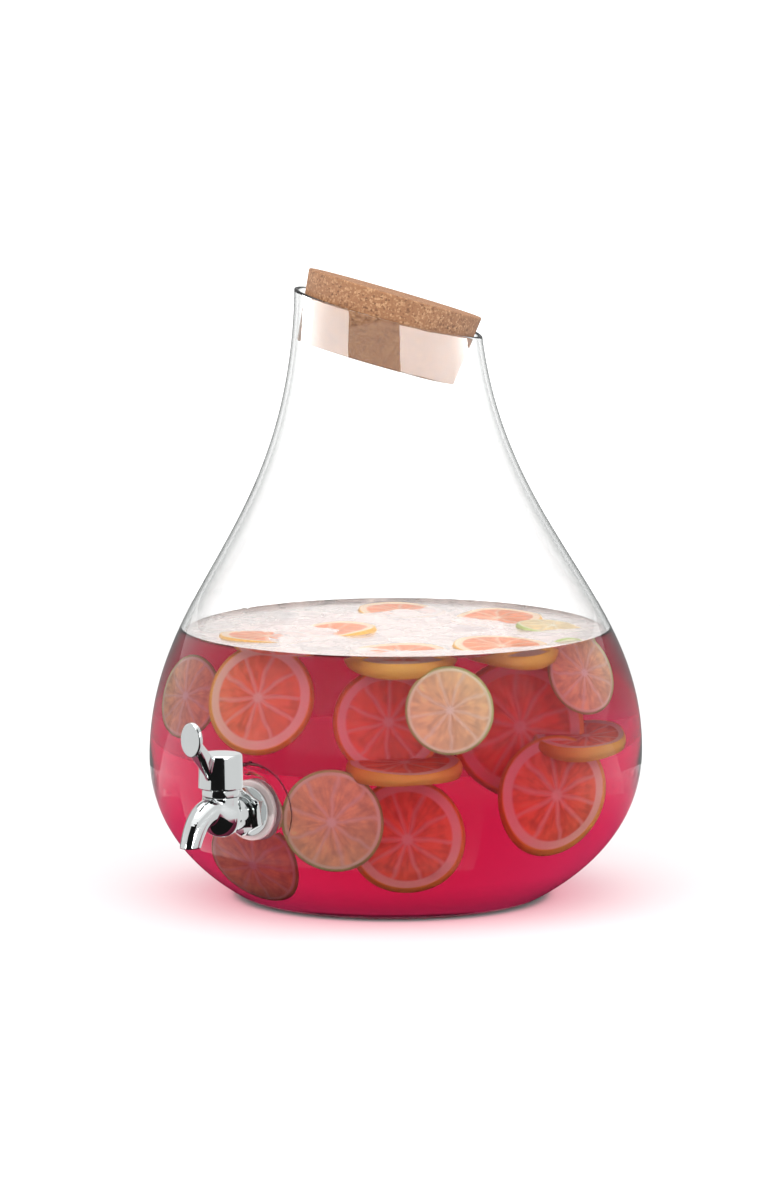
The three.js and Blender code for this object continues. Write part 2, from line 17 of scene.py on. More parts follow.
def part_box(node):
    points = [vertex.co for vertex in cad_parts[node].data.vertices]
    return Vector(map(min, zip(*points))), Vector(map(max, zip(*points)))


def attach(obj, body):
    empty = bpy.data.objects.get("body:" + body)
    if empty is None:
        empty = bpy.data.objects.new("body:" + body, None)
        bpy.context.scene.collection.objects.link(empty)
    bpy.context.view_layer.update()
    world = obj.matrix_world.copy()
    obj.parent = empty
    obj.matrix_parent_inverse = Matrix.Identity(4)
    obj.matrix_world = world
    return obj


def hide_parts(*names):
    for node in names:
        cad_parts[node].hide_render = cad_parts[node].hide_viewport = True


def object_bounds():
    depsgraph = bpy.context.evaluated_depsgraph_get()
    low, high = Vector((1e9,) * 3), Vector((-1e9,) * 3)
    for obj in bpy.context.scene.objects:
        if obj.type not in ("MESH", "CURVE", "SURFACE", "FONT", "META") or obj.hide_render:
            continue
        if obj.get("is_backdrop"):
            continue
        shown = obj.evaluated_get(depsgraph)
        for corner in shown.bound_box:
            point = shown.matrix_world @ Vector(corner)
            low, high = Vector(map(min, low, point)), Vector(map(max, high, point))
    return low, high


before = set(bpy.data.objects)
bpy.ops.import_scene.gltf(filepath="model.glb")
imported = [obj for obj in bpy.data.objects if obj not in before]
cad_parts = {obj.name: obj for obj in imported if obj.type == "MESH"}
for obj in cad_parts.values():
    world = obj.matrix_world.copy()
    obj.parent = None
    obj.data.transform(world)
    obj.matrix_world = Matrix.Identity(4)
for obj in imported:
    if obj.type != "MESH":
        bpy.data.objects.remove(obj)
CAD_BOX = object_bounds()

bl_info = {
    "name": "Glass Drink Dispenser",
    "version": (1, 0, 0),
    "blender": (4, 5, 0),
    "location": "View3D > Sidebar > Dispenser",
    "description": "Builds the finished surfaces, the drink and the studio of a glass dispenser",
    "category": "Object",
}

MM = 0.001
TAU = 2 * math.pi


# ---------------------------------------------------------------- places read from the frame

def centre_of(node):
    low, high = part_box(node)
    return (low + high) / 2


VESSEL_LOW, VESSEL_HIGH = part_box("glass_vessel")
SHANK_Z = centre_of("outer_washer").z
TOUCH_GAP = 0.3 * MM                       # kept between touching pieces all over the part
SEAT_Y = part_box("outer_washer")[1].y + TOUCH_GAP
VALVE_Y = centre_of("bonnet_ring").y
VALVE_REACH = SEAT_Y - VALVE_Y             # from the seat out to the valve's axis
CAP_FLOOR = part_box("handle")[0].z - SHANK_Z


# ---------------------------------------------------------------- colours and nodes

def linear(code):
    """Linear RGBA of an sRGB hex colour."""
    parts = [int(code[i:i + 2], 16) / 255 for i in (1, 3, 5)]
    return (*[c / 12.92 if c <= 0.04045 else ((c + 0.055) / 1.055) ** 2.4 for c in parts], 1.0)


def add(tree, kind, inputs=None, **settings):
    """Adds a node, applies its settings, and links or sets its inputs by name or number."""
    made = tree.nodes.new(kind)
    for name, value in settings.items():
        setattr(made, name, value)
    for socket, value in (inputs or {}).items():
        if isinstance(value, bpy.types.NodeSocket):
            tree.links.new(value, made.inputs[socket])
        else:
            made.inputs[socket].default_value = value
    return made


def set_stops(ramp, stops):
    """Gives a colour ramp its stops, as pairs of place and linear colour."""
    elements = ramp.color_ramp.elements
    while len(elements) < len(stops):
        elements.new(1.0)
    for element, (place, colour) in zip(elements, stops):
        element.position = place
        element.color = colour


def new_material(name):
    """An empty node material and its tree, with an output node."""
    material = bpy.data.materials.new(name)
    material.use_nodes = True
    tree = material.node_tree
    tree.nodes.clear()
    output = add(tree, "ShaderNodeOutputMaterial")
    return material, tree, output


def gray(value):
    """A linear grey."""
    return (value, value, value, 1.0)


# ---------------------------------------------------------------- settings

def length(name, description, millimetres):
    """A size in metres, given here in millimetres."""
    return FloatProperty(name=name, description=description, default=millimetres * MM,
                         unit="LENGTH", precision=4)


def angle(name, description, degrees):
    return FloatProperty(name=name, description=description, default=math.radians(degrees),
                         unit="ROTATION")


def colour(name, description, code):
    return FloatVectorProperty(name=name, description=description, default=linear(code),
                               size=4, subtype="COLOR", min=0.0, max=1.0)


class VesselSettings(bpy.types.PropertyGroup):
    """The blown glass vessel."""

    belly_radius: FloatProperty(
        name="Belly radius", description="Outside radius at the widest ring",
        default=(VESSEL_HIGH.x - VESSEL_LOW.x) / 2, unit="LENGTH")
    belly_height: length("Belly height", "Height of the widest ring", 85)
    pull_down: length("Pull down", "How far the belly stays full below that ring", 50)
    pull_up: length("Pull up", "How far the belly stays full above that ring", 97.5)
    foot_radius: length("Foot radius", "Where the wall leaves the foot", 86.5)
    heel_slope: angle("Heel slope", "How steeply the wall leaves the foot", 27.5)
    heel_pull: length("Heel pull", "How far the wall keeps that slope", 20)
    neck_radius: length("Neck radius", "Outside radius at the end of the neck", 54.1)
    neck_height: length("Neck height", "Where the neck's outline ends", 352)
    neck_slope: angle("Neck slope", "How much the neck still narrows at its end", 2.3)
    neck_pull: length("Neck pull", "How far down the neck keeps that slope", 137)
    mouth_drop: length("Mouth drop", "Middle of the rim, below the end of the outline", 7)
    mouth_slant: angle("Mouth slant", "Slant of the cut mouth", 14.5)
    low_side: angle("Low side", "Bearing of the mouth's low side, from +X towards +Y", 35)
    sway: length("Sway", "How far the hand-blown body wanders off its axis", 2.8)
    sway_height: length("Sway height", "Height of one half wave of that wander", 240)
    belly_wall: length("Belly wall", "Glass thickness at the foot", 3.4)
    rim_wall: length("Rim wall", "Glass thickness at the rim", 2.4)
    base: length("Base", "Glass thickness of the floor", 6)
    push_up: length("Push-up", "Hollow under the foot", 1.6)
    seat_radius: length("Seat radius", "Flat seat of the spigot", 20)
    seat_glass: length("Seat glass", "Glass thickness at the seat", 5)
    hole_radius: length("Hole radius", "Drilled hole in the seat", 8.4)
    # Edge tint is painted shade: the grey-green that the dry wall darkens to where it is seen
    # edge-on.
    tint: colour("Edge tint", "What the clear wall turns to where it is seen edge-on", "#6F7773")


class StopperSettings(bpy.types.PropertyGroup):
    """The cork stopper."""

    length: length("Length", "Length of the stopper", 42.3)
    proud: length("Proud", "How much of it stands above the rim", 11.2)
    radius_at_rim: length("Radius at rim", "Its radius where it passes the rim", 51.15)
    taper: FloatProperty(name="Taper", description="Radius gained per unit of height",
                         default=0.12)
    edge: length("Edge", "Rounding of its two edges", 1.1)
    tilt: angle("Tilt", "Tilt towards the low side of the mouth", 16.2)
    lean: angle("Lean", "Lean across that direction", 3.3)
    shift: length("Shift", "How far it rests towards the low side", 2.0)
    set_back: length("Set-back", "How far its lean carries it across", 0.358)
    granule: length("Granule", "Width of one cork granule", 1.1)
    body: colour("Cork", "Middle colour of the granules", "#82593B")
    light: colour("Light granules", "Palest granules", "#A07A58")
    dark: colour("Dark granules", "Darkest granules and bark specks", "#5C3A24")


class SpigotSettings(bpy.types.PropertyGroup):
    """The spigot, its fastenings and its valve."""

    shank_radius: length("Shank radius", "Threaded shank through the glass", 8)
    shank_bore: length("Shank bore", "Radius of the way in", 4.2)
    shank_inside: length("Shank inside", "Shank beyond the seat's outer face", 22)
    shoulder: length("Shoulder", "Where the body widens, out from the seat", 12.8)
    barrel_radius: length("Barrel radius", "Body next to the nut", 9.3)
    bulb_radius: length("Bulb radius", "Body round the valve", 11.5)
    neck_radius: length("Neck radius", "Body neck and bonnet ring", 10.6)
    neck_top: length("Neck top", "Top of the body neck above the shank's axis", 12)
    chamber_radius: length("Chamber radius", "Bore that holds the valve", 7.6)
    chamber_floor: length("Chamber floor", "Floor of that bore", -6.5)
    spout_reach: length("Spout reach", "Outlet, out from the valve's axis", 29.3)
    spout_drop: length("Spout drop", "Outlet, below the shank's axis", 14)
    spout_root: length("Spout root", "Radius of the spout where it leaves the body", 8.3)
    spout_end: length("Spout end", "Radius of the spout at its outlet", 5.8)
    spout_bore: length("Spout bore", "Radius of the outlet's bore", 4.3)
    washer_radius: length("Washer radius", "Both silicone washers", 17.5)
    nut_flats: length("Across flats", "Both hexagon nuts", 24)
    nut_flange: length("Nut flange", "Radius of the outer nut's flange", 14.5)
    flat_washer: length("Flat washer", "Radius of the metal washer", 13)
    cell: length("Mesh cell", "Mesh spacing on cast pieces", 0.45)


class HandleSettings(bpy.types.PropertyGroup):
    """The quarter-turn handle."""

    bottom_radius: length("Bottom radius", "Cap at its lower edge", 12.75)
    top_radius: length("Top radius", "Cap at its top", 12.25)
    height: length("Height", "Height of the cap", 20)
    top_round: length("Top rounding", "Rounding of the cap's top edge", 1.6)
    lever_width: length("Lever width", "Thickness of the lever blade", 9)
    paddle_width: length("Paddle width", "Oval thumb paddle, across", 14)
    paddle_height: length("Paddle height", "Oval thumb paddle, up", 20)
    paddle_thickness: length("Paddle thickness", "Thickness of the paddle", 3)
    paddle_reach: length("Paddle reach", "Its middle, out from the valve's axis", 27.4)
    paddle_rise: length("Paddle rise", "Its middle, above the cap's lower edge", 31)
    dish: length("Dish", "Hollow in the paddle's front face", 0.45)
    stem_bore: length("Stem bore", "Hole for the valve stem", 4.3)
    stem_depth: length("Stem depth", "Depth of that hole", 13.8)
    screw_height: length("Screw height", "Grub screw above the cap's lower edge", 8)
    screw_hole: length("Screw hole", "Radius of the grub screw's hole", 1.8)


class DrinkSettings(bpy.types.PropertyGroup):
    """The drink and what floats in it."""

    level: length("Level", "Height of the drink's surface", 156.8)
    meniscus: length("Meniscus", "How far the drink climbs the glass", 1.8)
    overlap: length("Overlap", "How far the drink reaches into the glass, so no air shows", 0.3)
    depth_red: FloatProperty(name="Red lost", description="Red light lost per metre", default=3.6)
    depth_green: FloatProperty(name="Green lost", description="Green light lost per metre",
                               default=19.0)
    depth_blue: FloatProperty(name="Blue lost", description="Blue light lost per metre",
                              default=12.8)
    # Painted shade: the tint that darkens the drink by the foot, for the shade where it meets the
    # floor.
    foot_shade: colour("Foot_shade", "What the settled syrup lets through by the foot", "#A2C2BA")
    lime_rind: colour("Lime rind", "Outer skin of the limes", "#CFE08C")
    lime_pulp: colour("Lime pulp", "Flesh of the limes", "#F6D89C")
    orange_rind: colour("Orange rind", "Outer skin of the oranges", "#FFC456")
    orange_pulp: colour("Orange pulp", "Flesh of the oranges", "#FF9A66")


class StudioSettings(bpy.types.PropertyGroup):
    """Floor, light and camera."""

    surround: FloatProperty(name="Surround", description="Brightness of the white surround",
                            default=1.45)
    box_light: FloatProperty(name="Softboxes", description="Brightness of the two softboxes",
                             default=20.0)
    wall_light: FloatProperty(name="Side walls", description="Brightness of the side walls",
                              default=0.95)
    fill_light: FloatProperty(name="Front fill", description="Brightness of the front fill",
                              default=3.4)
    glow: FloatProperty(name="Glow", description="Light that the drink passes to the floor",
                        default=1.6)
    glow_colour: colour("Glow colour", "Colour of that light", "#FF9AAC")
    top_light: FloatProperty(name="Overhead", description="Brightness of the overhead softbox",
                             default=3.0)
    bearing: angle("Bearing", "Camera bearing, from -Y towards +X", 35)
    elevation: angle("Elevation", "Camera height above the horizon", 7.5)
    distance: FloatProperty(name="Distance", description="Camera distance", default=4.0,
                            unit="LENGTH")
    aim_height: length("Aim height", "Height that the camera looks at", 190)
    lens: FloatProperty(name="Lens", description="Focal length in millimetres", default=205.1)


SETTINGS = {
    "vessel": VesselSettings,
    "stopper": StopperSettings,
    "spigot": SpigotSettings,
    "handle": HandleSettings,
    "drink": DrinkSettings,
    "studio": StudioSettings,
}


class DispenserSettings(bpy.types.PropertyGroup):
    """All the dispenser's settings, by piece."""

    vessel: PointerProperty(type=VesselSettings)
    stopper: PointerProperty(type=StopperSettings)
    spigot: PointerProperty(type=SpigotSettings)
    handle: PointerProperty(type=HandleSettings)
    drink: PointerProperty(type=DrinkSettings)
    studio: PointerProperty(type=StudioSettings)


# ---------------------------------------------------------------- meshes

def new_object(name, mesh):
    made = bpy.data.objects.new(name, mesh)
    bpy.context.scene.collection.objects.link(made)
    return made


def skin(name, rings, closed=False):
    """Mesh through a list of rings of points, each ring closed. A ring of one point is a pole.
    closed joins the last ring to the first, as in a washer."""
    points = [point for ring in rings for point in ring]
    starts = np.cumsum([0] + [len(ring) for ring in rings])
    faces = []
    pairs = list(zip(range(len(rings)), range(1, len(rings))))
    if closed:
        pairs.append((len(rings) - 1, 0))
    for low, high in pairs:
        count = max(len(rings[low]), len(rings[high]))
        for i in range(count):
            j = (i + 1) % count
            corners = [
                starts[low] + (i if len(rings[low]) > 1 else 0),
                starts[low] + (j if len(rings[low]) > 1 else 0),
                starts[high] + (j if len(rings[high]) > 1 else 0),
                starts[high] + (i if len(rings[high]) > 1 else 0),
            ]
            faces.append(tuple(int(c) for c in dict.fromkeys(corners)))
    mesh = bpy.data.meshes.new(name)
    mesh.from_pydata([tuple(point) for point in points], [], faces)
    face_outwards(mesh)
    return mesh


def face_outwards(mesh):
    work = bmesh.new()
    work.from_mesh(mesh)
    bmesh.ops.recalc_face_normals(work, faces=work.faces)
    work.to_mesh(mesh)
    work.free()
    mesh.shade_smooth()


def crease(mesh, degrees):
    mesh.set_sharp_from_angle(angle=math.radians(degrees))


def rounded(outline, radius, steps=5, closed=False):
    """The outline of [radius, height] points with its corners rounded by up to the radius."""
    made = []
    count = len(outline)
    for i, corner in enumerate(outline):
        if not closed and i in (0, count - 1):
            made.append(corner)
            continue
        here = Vector(corner)
        before = Vector(outline[i - 1])
        after = Vector(outline[(i + 1) % count])
        reach = min(radius, (before - here).length * 0.45, (after - here).length * 0.45)
        start = here + (before - here).normalized() * reach
        end = here + (after - here).normalized() * reach
        for step in range(steps + 1):
            t = step / steps
            made.append(tuple(start.lerp(here, t).lerp(here.lerp(end, t), t)))
    return made


def turned(name, outline, sides, place, closed=False):
    """Piece turned about Z from [radius, height] points, then set in its place."""
    rings = []
    for radius, height in outline:
        if radius < 1e-7:
            rings.append([(0.0, 0.0, height)])
            continue
        turns = np.arange(sides) * TAU / sides
        rings.append(np.stack(
            [radius * np.cos(turns), radius * np.sin(turns), np.full(sides, height)], 1))
    mesh = skin(name, rings, closed)
    mesh.transform(place)
    return mesh


def ring_outline(inner, outer, low, high):
    return [(inner, low), (outer, low), (outer, high), (inner, high)]


def along_shank():
    """Turns a piece's Z axis to point outwards along the shank, from the seat's outer face."""
    return Matrix.Translation((0, SEAT_Y, SHANK_Z)) @ Matrix.Rotation(math.pi / 2, 4, "X")


def up_valve():
    """Stands a piece on the valve's axis, at the height of the shank's axis."""
    return Matrix.Translation((0, VALVE_Y, SHANK_Z))


SETTLING_STEPS = 10                 # moves of an implicit mesh's points onto its surface
NUDGE = 0.02 * MM                   # step for the slope of a field
FAR = 1.0                           # further than any field's own distances


def implicit(name, field, low, high, cell):
    """Closed mesh of field(x, y, z) = 0, negative inside, from a grid of cells whose points are
    then moved onto the surface. All in metres, in the field's own frame."""
    low = np.array(low, float)
    axes = [np.arange(low[i], high[i] + cell, cell) for i in range(3)]
    grid = np.meshgrid(*axes, indexing="ij")
    inside = field(*grid) < 0
    size = [len(axis) - 1 for axis in axes]
    corners = sum(
        inside[i:size[0] + i, j:size[1] + j, k:size[2] + k].astype(int)
        for i in (0, 1) for j in (0, 1) for k in (0, 1)
    )
    crossed = (corners > 0) & (corners < 8)
    number = np.full(crossed.shape, -1)
    number[crossed] = np.arange(crossed.sum())
    points = low + (np.argwhere(crossed) + 0.5) * cell
    for _ in range(SETTLING_STEPS):
        value, slope = field_slope(field, points)
        steepness = np.maximum((slope ** 2).sum(1), 1e-6)
        step = np.clip(value / steepness, -cell, cell)[:, None] * slope
        points = points - step
    faces = []
    for axis in range(3):
        faces.extend(edge_faces(inside, number, axis))
    mesh = bpy.data.meshes.new(name)
    mesh.from_pydata(points.tolist(), [], np.array(faces).tolist())
    face_outwards(mesh)
    return mesh


def field_slope(field, points):
    """Value and gradient of the field at the points."""
    value = field(*points.T)
    slope = np.zeros_like(points)
    for i in range(3):
        step = np.zeros(3)
        step[i] = NUDGE
        slope[:, i] = (field(*(points + step).T) - field(*(points - step).T)) / (2 * NUDGE)
    return value, slope


def edge_faces(inside, number, axis):
    """One quad for each grid edge along the axis that passes through the surface."""
    start = np.moveaxis(inside, axis, 0)
    cells = np.moveaxis(number, axis, 0)
    changed = start[:-1, 1:-1, 1:-1] != start[1:, 1:-1, 1:-1]
    a, b, c = np.nonzero(changed)
    quads = np.stack([cells[a, b, c], cells[a, b + 1, c],
                      cells[a, b + 1, c + 1], cells[a, b, c + 1]], 1)
    return quads.tolist()


def join_soft(a, b, k):
    """Union of two fields with a fillet of about k."""
    h = np.maximum(k - np.abs(a - b), 0) / k
    return np.minimum(a, b) - h * h * k / 4


def cut_soft(a, b, k):
    """Field a with field b taken away, its edges eased by about k."""
    h = np.maximum(k - np.abs(a + b), 0) / k
    return np.maximum(a, -b) + h * h * k / 4


def meet_soft(a, b, k):
    """Where both fields hold, with its edges eased by about k."""
    return cut_soft(a, -b, k)


def boxed(a, b, radius):
    """Corner of two crossing fields, rounded by the radius."""
    outer = np.hypot(np.maximum(a + radius, 0), np.maximum(b + radius, 0))
    return outer + np.minimum(np.maximum(a, b) + radius, 0) - radius


def tube_field(x, u, h, path, radii):
    """Field of a round bar along a path in the plane x = 0, with a radius at each point."""
    best = np.full(np.shape(x), FAR)
    for i in range(len(path) - 1):
        (u0, h0), (u1, h1) = path[i], path[i + 1]
        du, dh = u1 - u0, h1 - h0
        share = np.clip(((u - u0) * du + (h - h0) * dh) / (du * du + dh * dh), 0, 1)
        away = np.sqrt(x * x + (u - u0 - share * du) ** 2 + (h - h0 - share * dh) ** 2)
        best = np.minimum(best, away - (radii[i] + (radii[i + 1] - radii[i]) * share))
    return best


def polygon_field(u, h, corners):
    """Signed distance to a polygon, negative inside."""
    best = np.full(np.shape(u), FAR)
    within = np.zeros(np.shape(u), bool)
    for (u0, h0), (u1, h1) in zip(corners, corners[1:] + corners[:1]):
        du, dh = u1 - u0, h1 - h0
        share = np.clip(((u - u0) * du + (h - h0) * dh) / (du * du + dh * dh), 0, 1)
        best = np.minimum(best, np.hypot(u - u0 - share * du, h - h0 - share * dh))
        crosses = (h0 > h) != (h1 > h)
        reach = u0 + (h - h0) * du / (dh if dh else 1e-12)
        within ^= crosses & (u < reach)
    return np.where(within, -best, best)


def smooth_maximum(a, b, k):
    """The larger of two values, eased by about k where they cross."""
    h = np.maximum(k - np.abs(a - b), 0) / k
    return np.maximum(a, b) + h * h * k / 4


# ---------------------------------------------------------------- vessel outline

def cubic(corners, share):
    """Points and unit directions along a cubic curve, for an array of shares."""
    a, b, c, d = (np.array(corner, float) for corner in corners)
    t = np.asarray(share, float)[:, None]
    s = 1 - t
    points = s ** 3 * a + 3 * s * s * t * b + 3 * s * t * t * c + t ** 3 * d
    along = 3 * s * s * (b - a) + 6 * s * t * (c - b) + 3 * t * t * (d - c)
    return points, along / np.linalg.norm(along, axis=1)[:, None]


PROFILE_POINTS = 160                # along each half of the vessel's outline
MOUTH_STEPS = 12                    # towards the height where the slanted cut meets a column


class Wall:
    """Outside and inside of the vessel's wall, as radius against height."""

    def __init__(self, v):
        self.v = v
        shares = np.linspace(0, 1, PROFILE_POINTS)
        heel = (v.foot_radius + v.heel_pull * math.cos(v.heel_slope),
                v.heel_pull * math.sin(v.heel_slope))
        belly = (v.belly_radius, v.belly_height)
        lower, lower_way = cubic(
            [(v.foot_radius, 0), heel, (v.belly_radius, v.belly_height - v.pull_down), belly],
            shares)
        neck = (v.neck_radius + v.neck_pull * math.sin(v.neck_slope),
                v.neck_height - v.neck_pull * math.cos(v.neck_slope))
        upper, upper_way = cubic(
            [belly, (v.belly_radius, v.belly_height + v.pull_up), neck,
             (v.neck_radius, v.neck_height)], shares)
        self.outer = np.concatenate([lower, upper[1:]])
        way = np.concatenate([lower_way, upper_way[1:]])
        glass = v.belly_wall + (v.rim_wall - v.belly_wall) * self.outer[:, 1:] / v.neck_height
        self.inner = self.outer + np.stack([-way[:, 1], way[:, 0]], 1) * glass
        self.side = (math.cos(v.low_side), math.sin(v.low_side))
        self.mouth = v.neck_height - v.mouth_drop

    def sway(self, z):
        return self.v.sway * np.sin(math.pi * np.asarray(z) / self.v.sway_height)

    def ring(self, radius, z, turns):
        """Points of one ring, following the body's sway."""
        z = np.broadcast_to(z, turns.shape)
        sway = self.sway(z)
        return np.stack([radius * np.cos(turns) + sway * self.side[0],
                         radius * np.sin(turns) + sway * self.side[1], z], 1)

    def mouth_at(self, profile, turns, drop):
        """Height of the slanted mouth on a profile, for each turn, less a drop."""
        z = np.full(turns.shape, self.mouth)
        for _ in range(MOUTH_STEPS):
            radius = np.interp(z, profile[:, 1], profile[:, 0])
            out = radius * np.cos(turns - self.v.low_side) + self.sway(z) - self.sway(self.mouth)
            z = self.mouth - math.tan(self.v.mouth_slant) * out - drop
        return z

    def pressed(self, points, face, radius, flare, ease):
        """Points with those near the spigot pressed back to its flat seat."""
        from_axis = np.hypot(points[:, 0], points[:, 2] - SHANK_Z)
        floor = face - np.maximum(from_axis - radius, 0) * flare
        near = (points[:, 1] < 0) & (from_axis < SEAT_SPREAD * radius)
        pushed = smooth_maximum(points[:, 1], floor, ease)
        points[:, 1] = np.where(near, pushed, points[:, 1])
        return points


def wall_turns():
    """Bearings of the vessel's columns, close together within 13 degrees of the spigot."""
    middle = -math.pi / 2
    close = math.radians(13)
    near = np.linspace(middle - close, middle + close, 91)
    far = np.linspace(middle + close, middle + TAU - close, 151)[1:-1]
    return np.concatenate([near, far])


FINE_ROWS = 0.9 * MM                # between the vessel's rings near the spigot
WIDE_ROWS = 3.0 * MM                # and elsewhere
FINE_REACH = 30 * MM                # how far above and below the spigot the rows are fine
PROBE = 0.5 * MM                    # step for the lean of a profile


def stations(profile, low, high):
    """Points along a profile from one height to another, close together near the spigot."""
    kept = []
    height = low
    while height < high:
        point = np.array([np.interp(height, profile[:, 1], profile[:, 0]), height])
        kept.append(point)
        near = abs(height - SHANK_Z) < FINE_REACH
        stride = FINE_ROWS if near else WIDE_ROWS
        ahead = np.interp(height + PROBE, profile[:, 1], profile[:, 0])
        lean = (ahead - point[0]) / PROBE
        height += stride / math.hypot(1, lean)
    kept.append(np.array([np.interp(high, profile[:, 1], profile[:, 0]), high]))
    return kept


LEVEL_ROWS = 290 * MM               # below this height the vessel's rings are level


def wall_rings(wall, profile, low, turns, drop, press):
    """Rings from a height up to just under the slanted mouth."""
    top = wall.mouth_at(profile, turns, drop)
    rings = []
    for radius, z in stations(profile, low, wall.mouth):
        if z <= LEVEL_ROWS:
            rings.append(press(wall.ring(radius, z, turns)))
            continue
        heights = LEVEL_ROWS + (top - LEVEL_ROWS) * (z - LEVEL_ROWS) / (wall.mouth - LEVEL_ROWS)
        radii = np.interp(heights, profile[:, 1], profile[:, 0])
        rings.append(wall.ring(radii, heights, turns))
    return rings


SEAT_FLARE = 15 / 8                 # rise over run of the recess round the seat
LINING_FLARE = 20 / 8               # and of the boss inside
SEAT_EASE = 2.2 * MM                # blend of the recess into the wall
LINING_EASE = 3 * MM                # and of the boss inside
SEAT_SPREAD = 2.5                   # how many seat radii the recess may reach
HEEL = 1.2 * MM                     # height of the rounded edge of the foot
CORNER_RISE = 9 * MM                # height of the rounded corner round the floor inside
CORNER_RUN = 24 * MM                # and its width


def floor_profile(profile, base, bottom):
    """Radius and height across the vessel's floor, from its rounded corner in to the middle."""
    corner = base + CORNER_RISE
    wide = np.interp(corner, profile[:, 1], profile[:, 0])
    flat = wide - CORNER_RUN
    rows = []
    for t in np.linspace(0.08, 0.92, 10):
        s = 1 - t
        rows.append((s ** 2 * wide + 2 * t * s * (wide - CORNER_RUN / 2) + t * t * flat,
                     s ** 2 * corner + (1 - s ** 2) * bottom))
    return rows + [(share * flat, bottom) for share in np.linspace(1, 0.1, 12)]


def vessel_mesh(v):
    """The vessel in one closed skin: foot, outer wall, fire-polished rim, inner wall, floor."""
    wall = Wall(v)
    turns = wall_turns()
    rim = v.rim_wall / 2

    def press_out(points):
        return wall.pressed(points, SEAT_Y, v.seat_radius, SEAT_FLARE, SEAT_EASE)

    def press_in(points):
        return wall.pressed(points, SEAT_Y + v.seat_glass, v.seat_radius + v.seat_glass,
                            LINING_FLARE, LINING_EASE)

    heel_radius = np.interp(HEEL, wall.outer[:, 1], wall.outer[:, 0])
    foot = [(0.0, v.push_up)]
    for share in np.linspace(0.1, 1, 16):
        foot.append((share * 0.94 * v.foot_radius, v.push_up * (1 - share * share) ** 1.5))
    start, corner, end = foot[-1], (v.foot_radius * 0.99, 0.0), (heel_radius, HEEL)
    for t in np.linspace(0.15, 0.85, 6):
        foot.append(tuple((1 - t) ** 2 * np.array(start) + 2 * t * (1 - t) * np.array(corner)
                          + t * t * np.array(end)))
    rings = [wall.ring(0.0, foot[0][1], turns[:1])]
    rings += [wall.ring(radius, z, turns) for radius, z in foot[1:]]
    outer = wall_rings(wall, wall.outer, HEEL, turns, rim, press_out)
    lining = wall_rings(wall, wall.inner, v.base + CORNER_RISE, turns, rim, press_in)
    crown = rim * math.cos(v.mouth_slant)
    bead = []
    for t in np.linspace(0, math.pi, 11)[1:-1]:
        across = (1 - math.cos(t)) / 2
        bead.append(outer[-1] * (1 - across) + lining[-1] * across
                    + np.array([0, 0, crown * math.sin(t)]))
    floor = floor_profile(wall.inner, v.base, v.base)
    rings += outer + bead + lining[::-1]
    rings += [wall.ring(radius, z, turns) for radius, z in floor]
    rings.append(wall.ring(0.0, v.base, turns[:1]))
    return skin("vessel_glass", rings)


def drilled(mesh, radius):
    """The mesh with the spigot's hole drilled through its seat."""
    body = new_object("vessel_blank", mesh)
    place = along_shank()
    bar = turned("drill", [(0.0, -20 * MM), (radius, -20 * MM), (radius, 15 * MM), (0.0, 15 * MM)],
                 64, place)
    drill = new_object("drill", bar)
    cut = body.modifiers.new("hole", "BOOLEAN")
    cut.object = drill
    cut.operation = "DIFFERENCE"
    cut.solver = "EXACT"
    made = bpy.data.meshes.new_from_object(
        body.evaluated_get(bpy.context.evaluated_depsgraph_get()))
    for used in (body, drill):
        bpy.data.objects.remove(used)
    made.shade_smooth()
    crease(made, 40)
    return made


def drink_mesh(v, d):
    """The drink as a closed skin that overlaps the glass, with a meniscus round its surface."""
    wall = Wall(v)
    turns = wall_turns()
    profile = wall.inner + np.array([d.overlap, 0.0])
    bottom = v.base - d.overlap

    def press(points):
        face = SEAT_Y + v.seat_glass - d.overlap
        return wall.pressed(points, face, v.seat_radius + v.seat_glass, LINING_FLARE,
                            LINING_EASE)

    rings = [wall.ring(0.0, bottom, turns[:1])]
    for radius, z in floor_profile(profile, v.base, bottom)[::-1]:
        rings.append(wall.ring(radius, z, turns))
    edge = d.level + d.meniscus
    for radius, z in stations(profile, v.base + CORNER_RISE, edge):
        rings.append(press(wall.ring(radius, z, turns)))
    edge_radius = np.interp(edge, profile[:, 1], profile[:, 0])
    surface_start = len(rings)
    fall = 1.5                      # millimetres in which the meniscus loses most of its height
    for away in (0.5, 1.1, 1.9, 3.0, 4.6, 7.0):
        climb = d.meniscus * math.exp(-away / fall)
        rings.append(wall.ring(edge_radius - away * MM, d.level + climb, turns))
    for share in np.linspace(0.92, 0.06, 26):
        rings.append(wall.ring(share * edge_radius, d.level, turns))
    rings.append(wall.ring(0.0, d.level, turns[:1]))
    mesh = skin("drink", rings)
    above = sum(len(ring) for ring in rings[:surface_start])
    for polygon in mesh.polygons:
        if min(polygon.vertices) >= above - len(turns):
            polygon.material_index = 1
    ripple(mesh, above)
    return mesh


SWELL = 0.1 * MM                    # height of the ripples on the drink
CALM_FROM = 118 * MM                # they die away between here and 20 mm further in


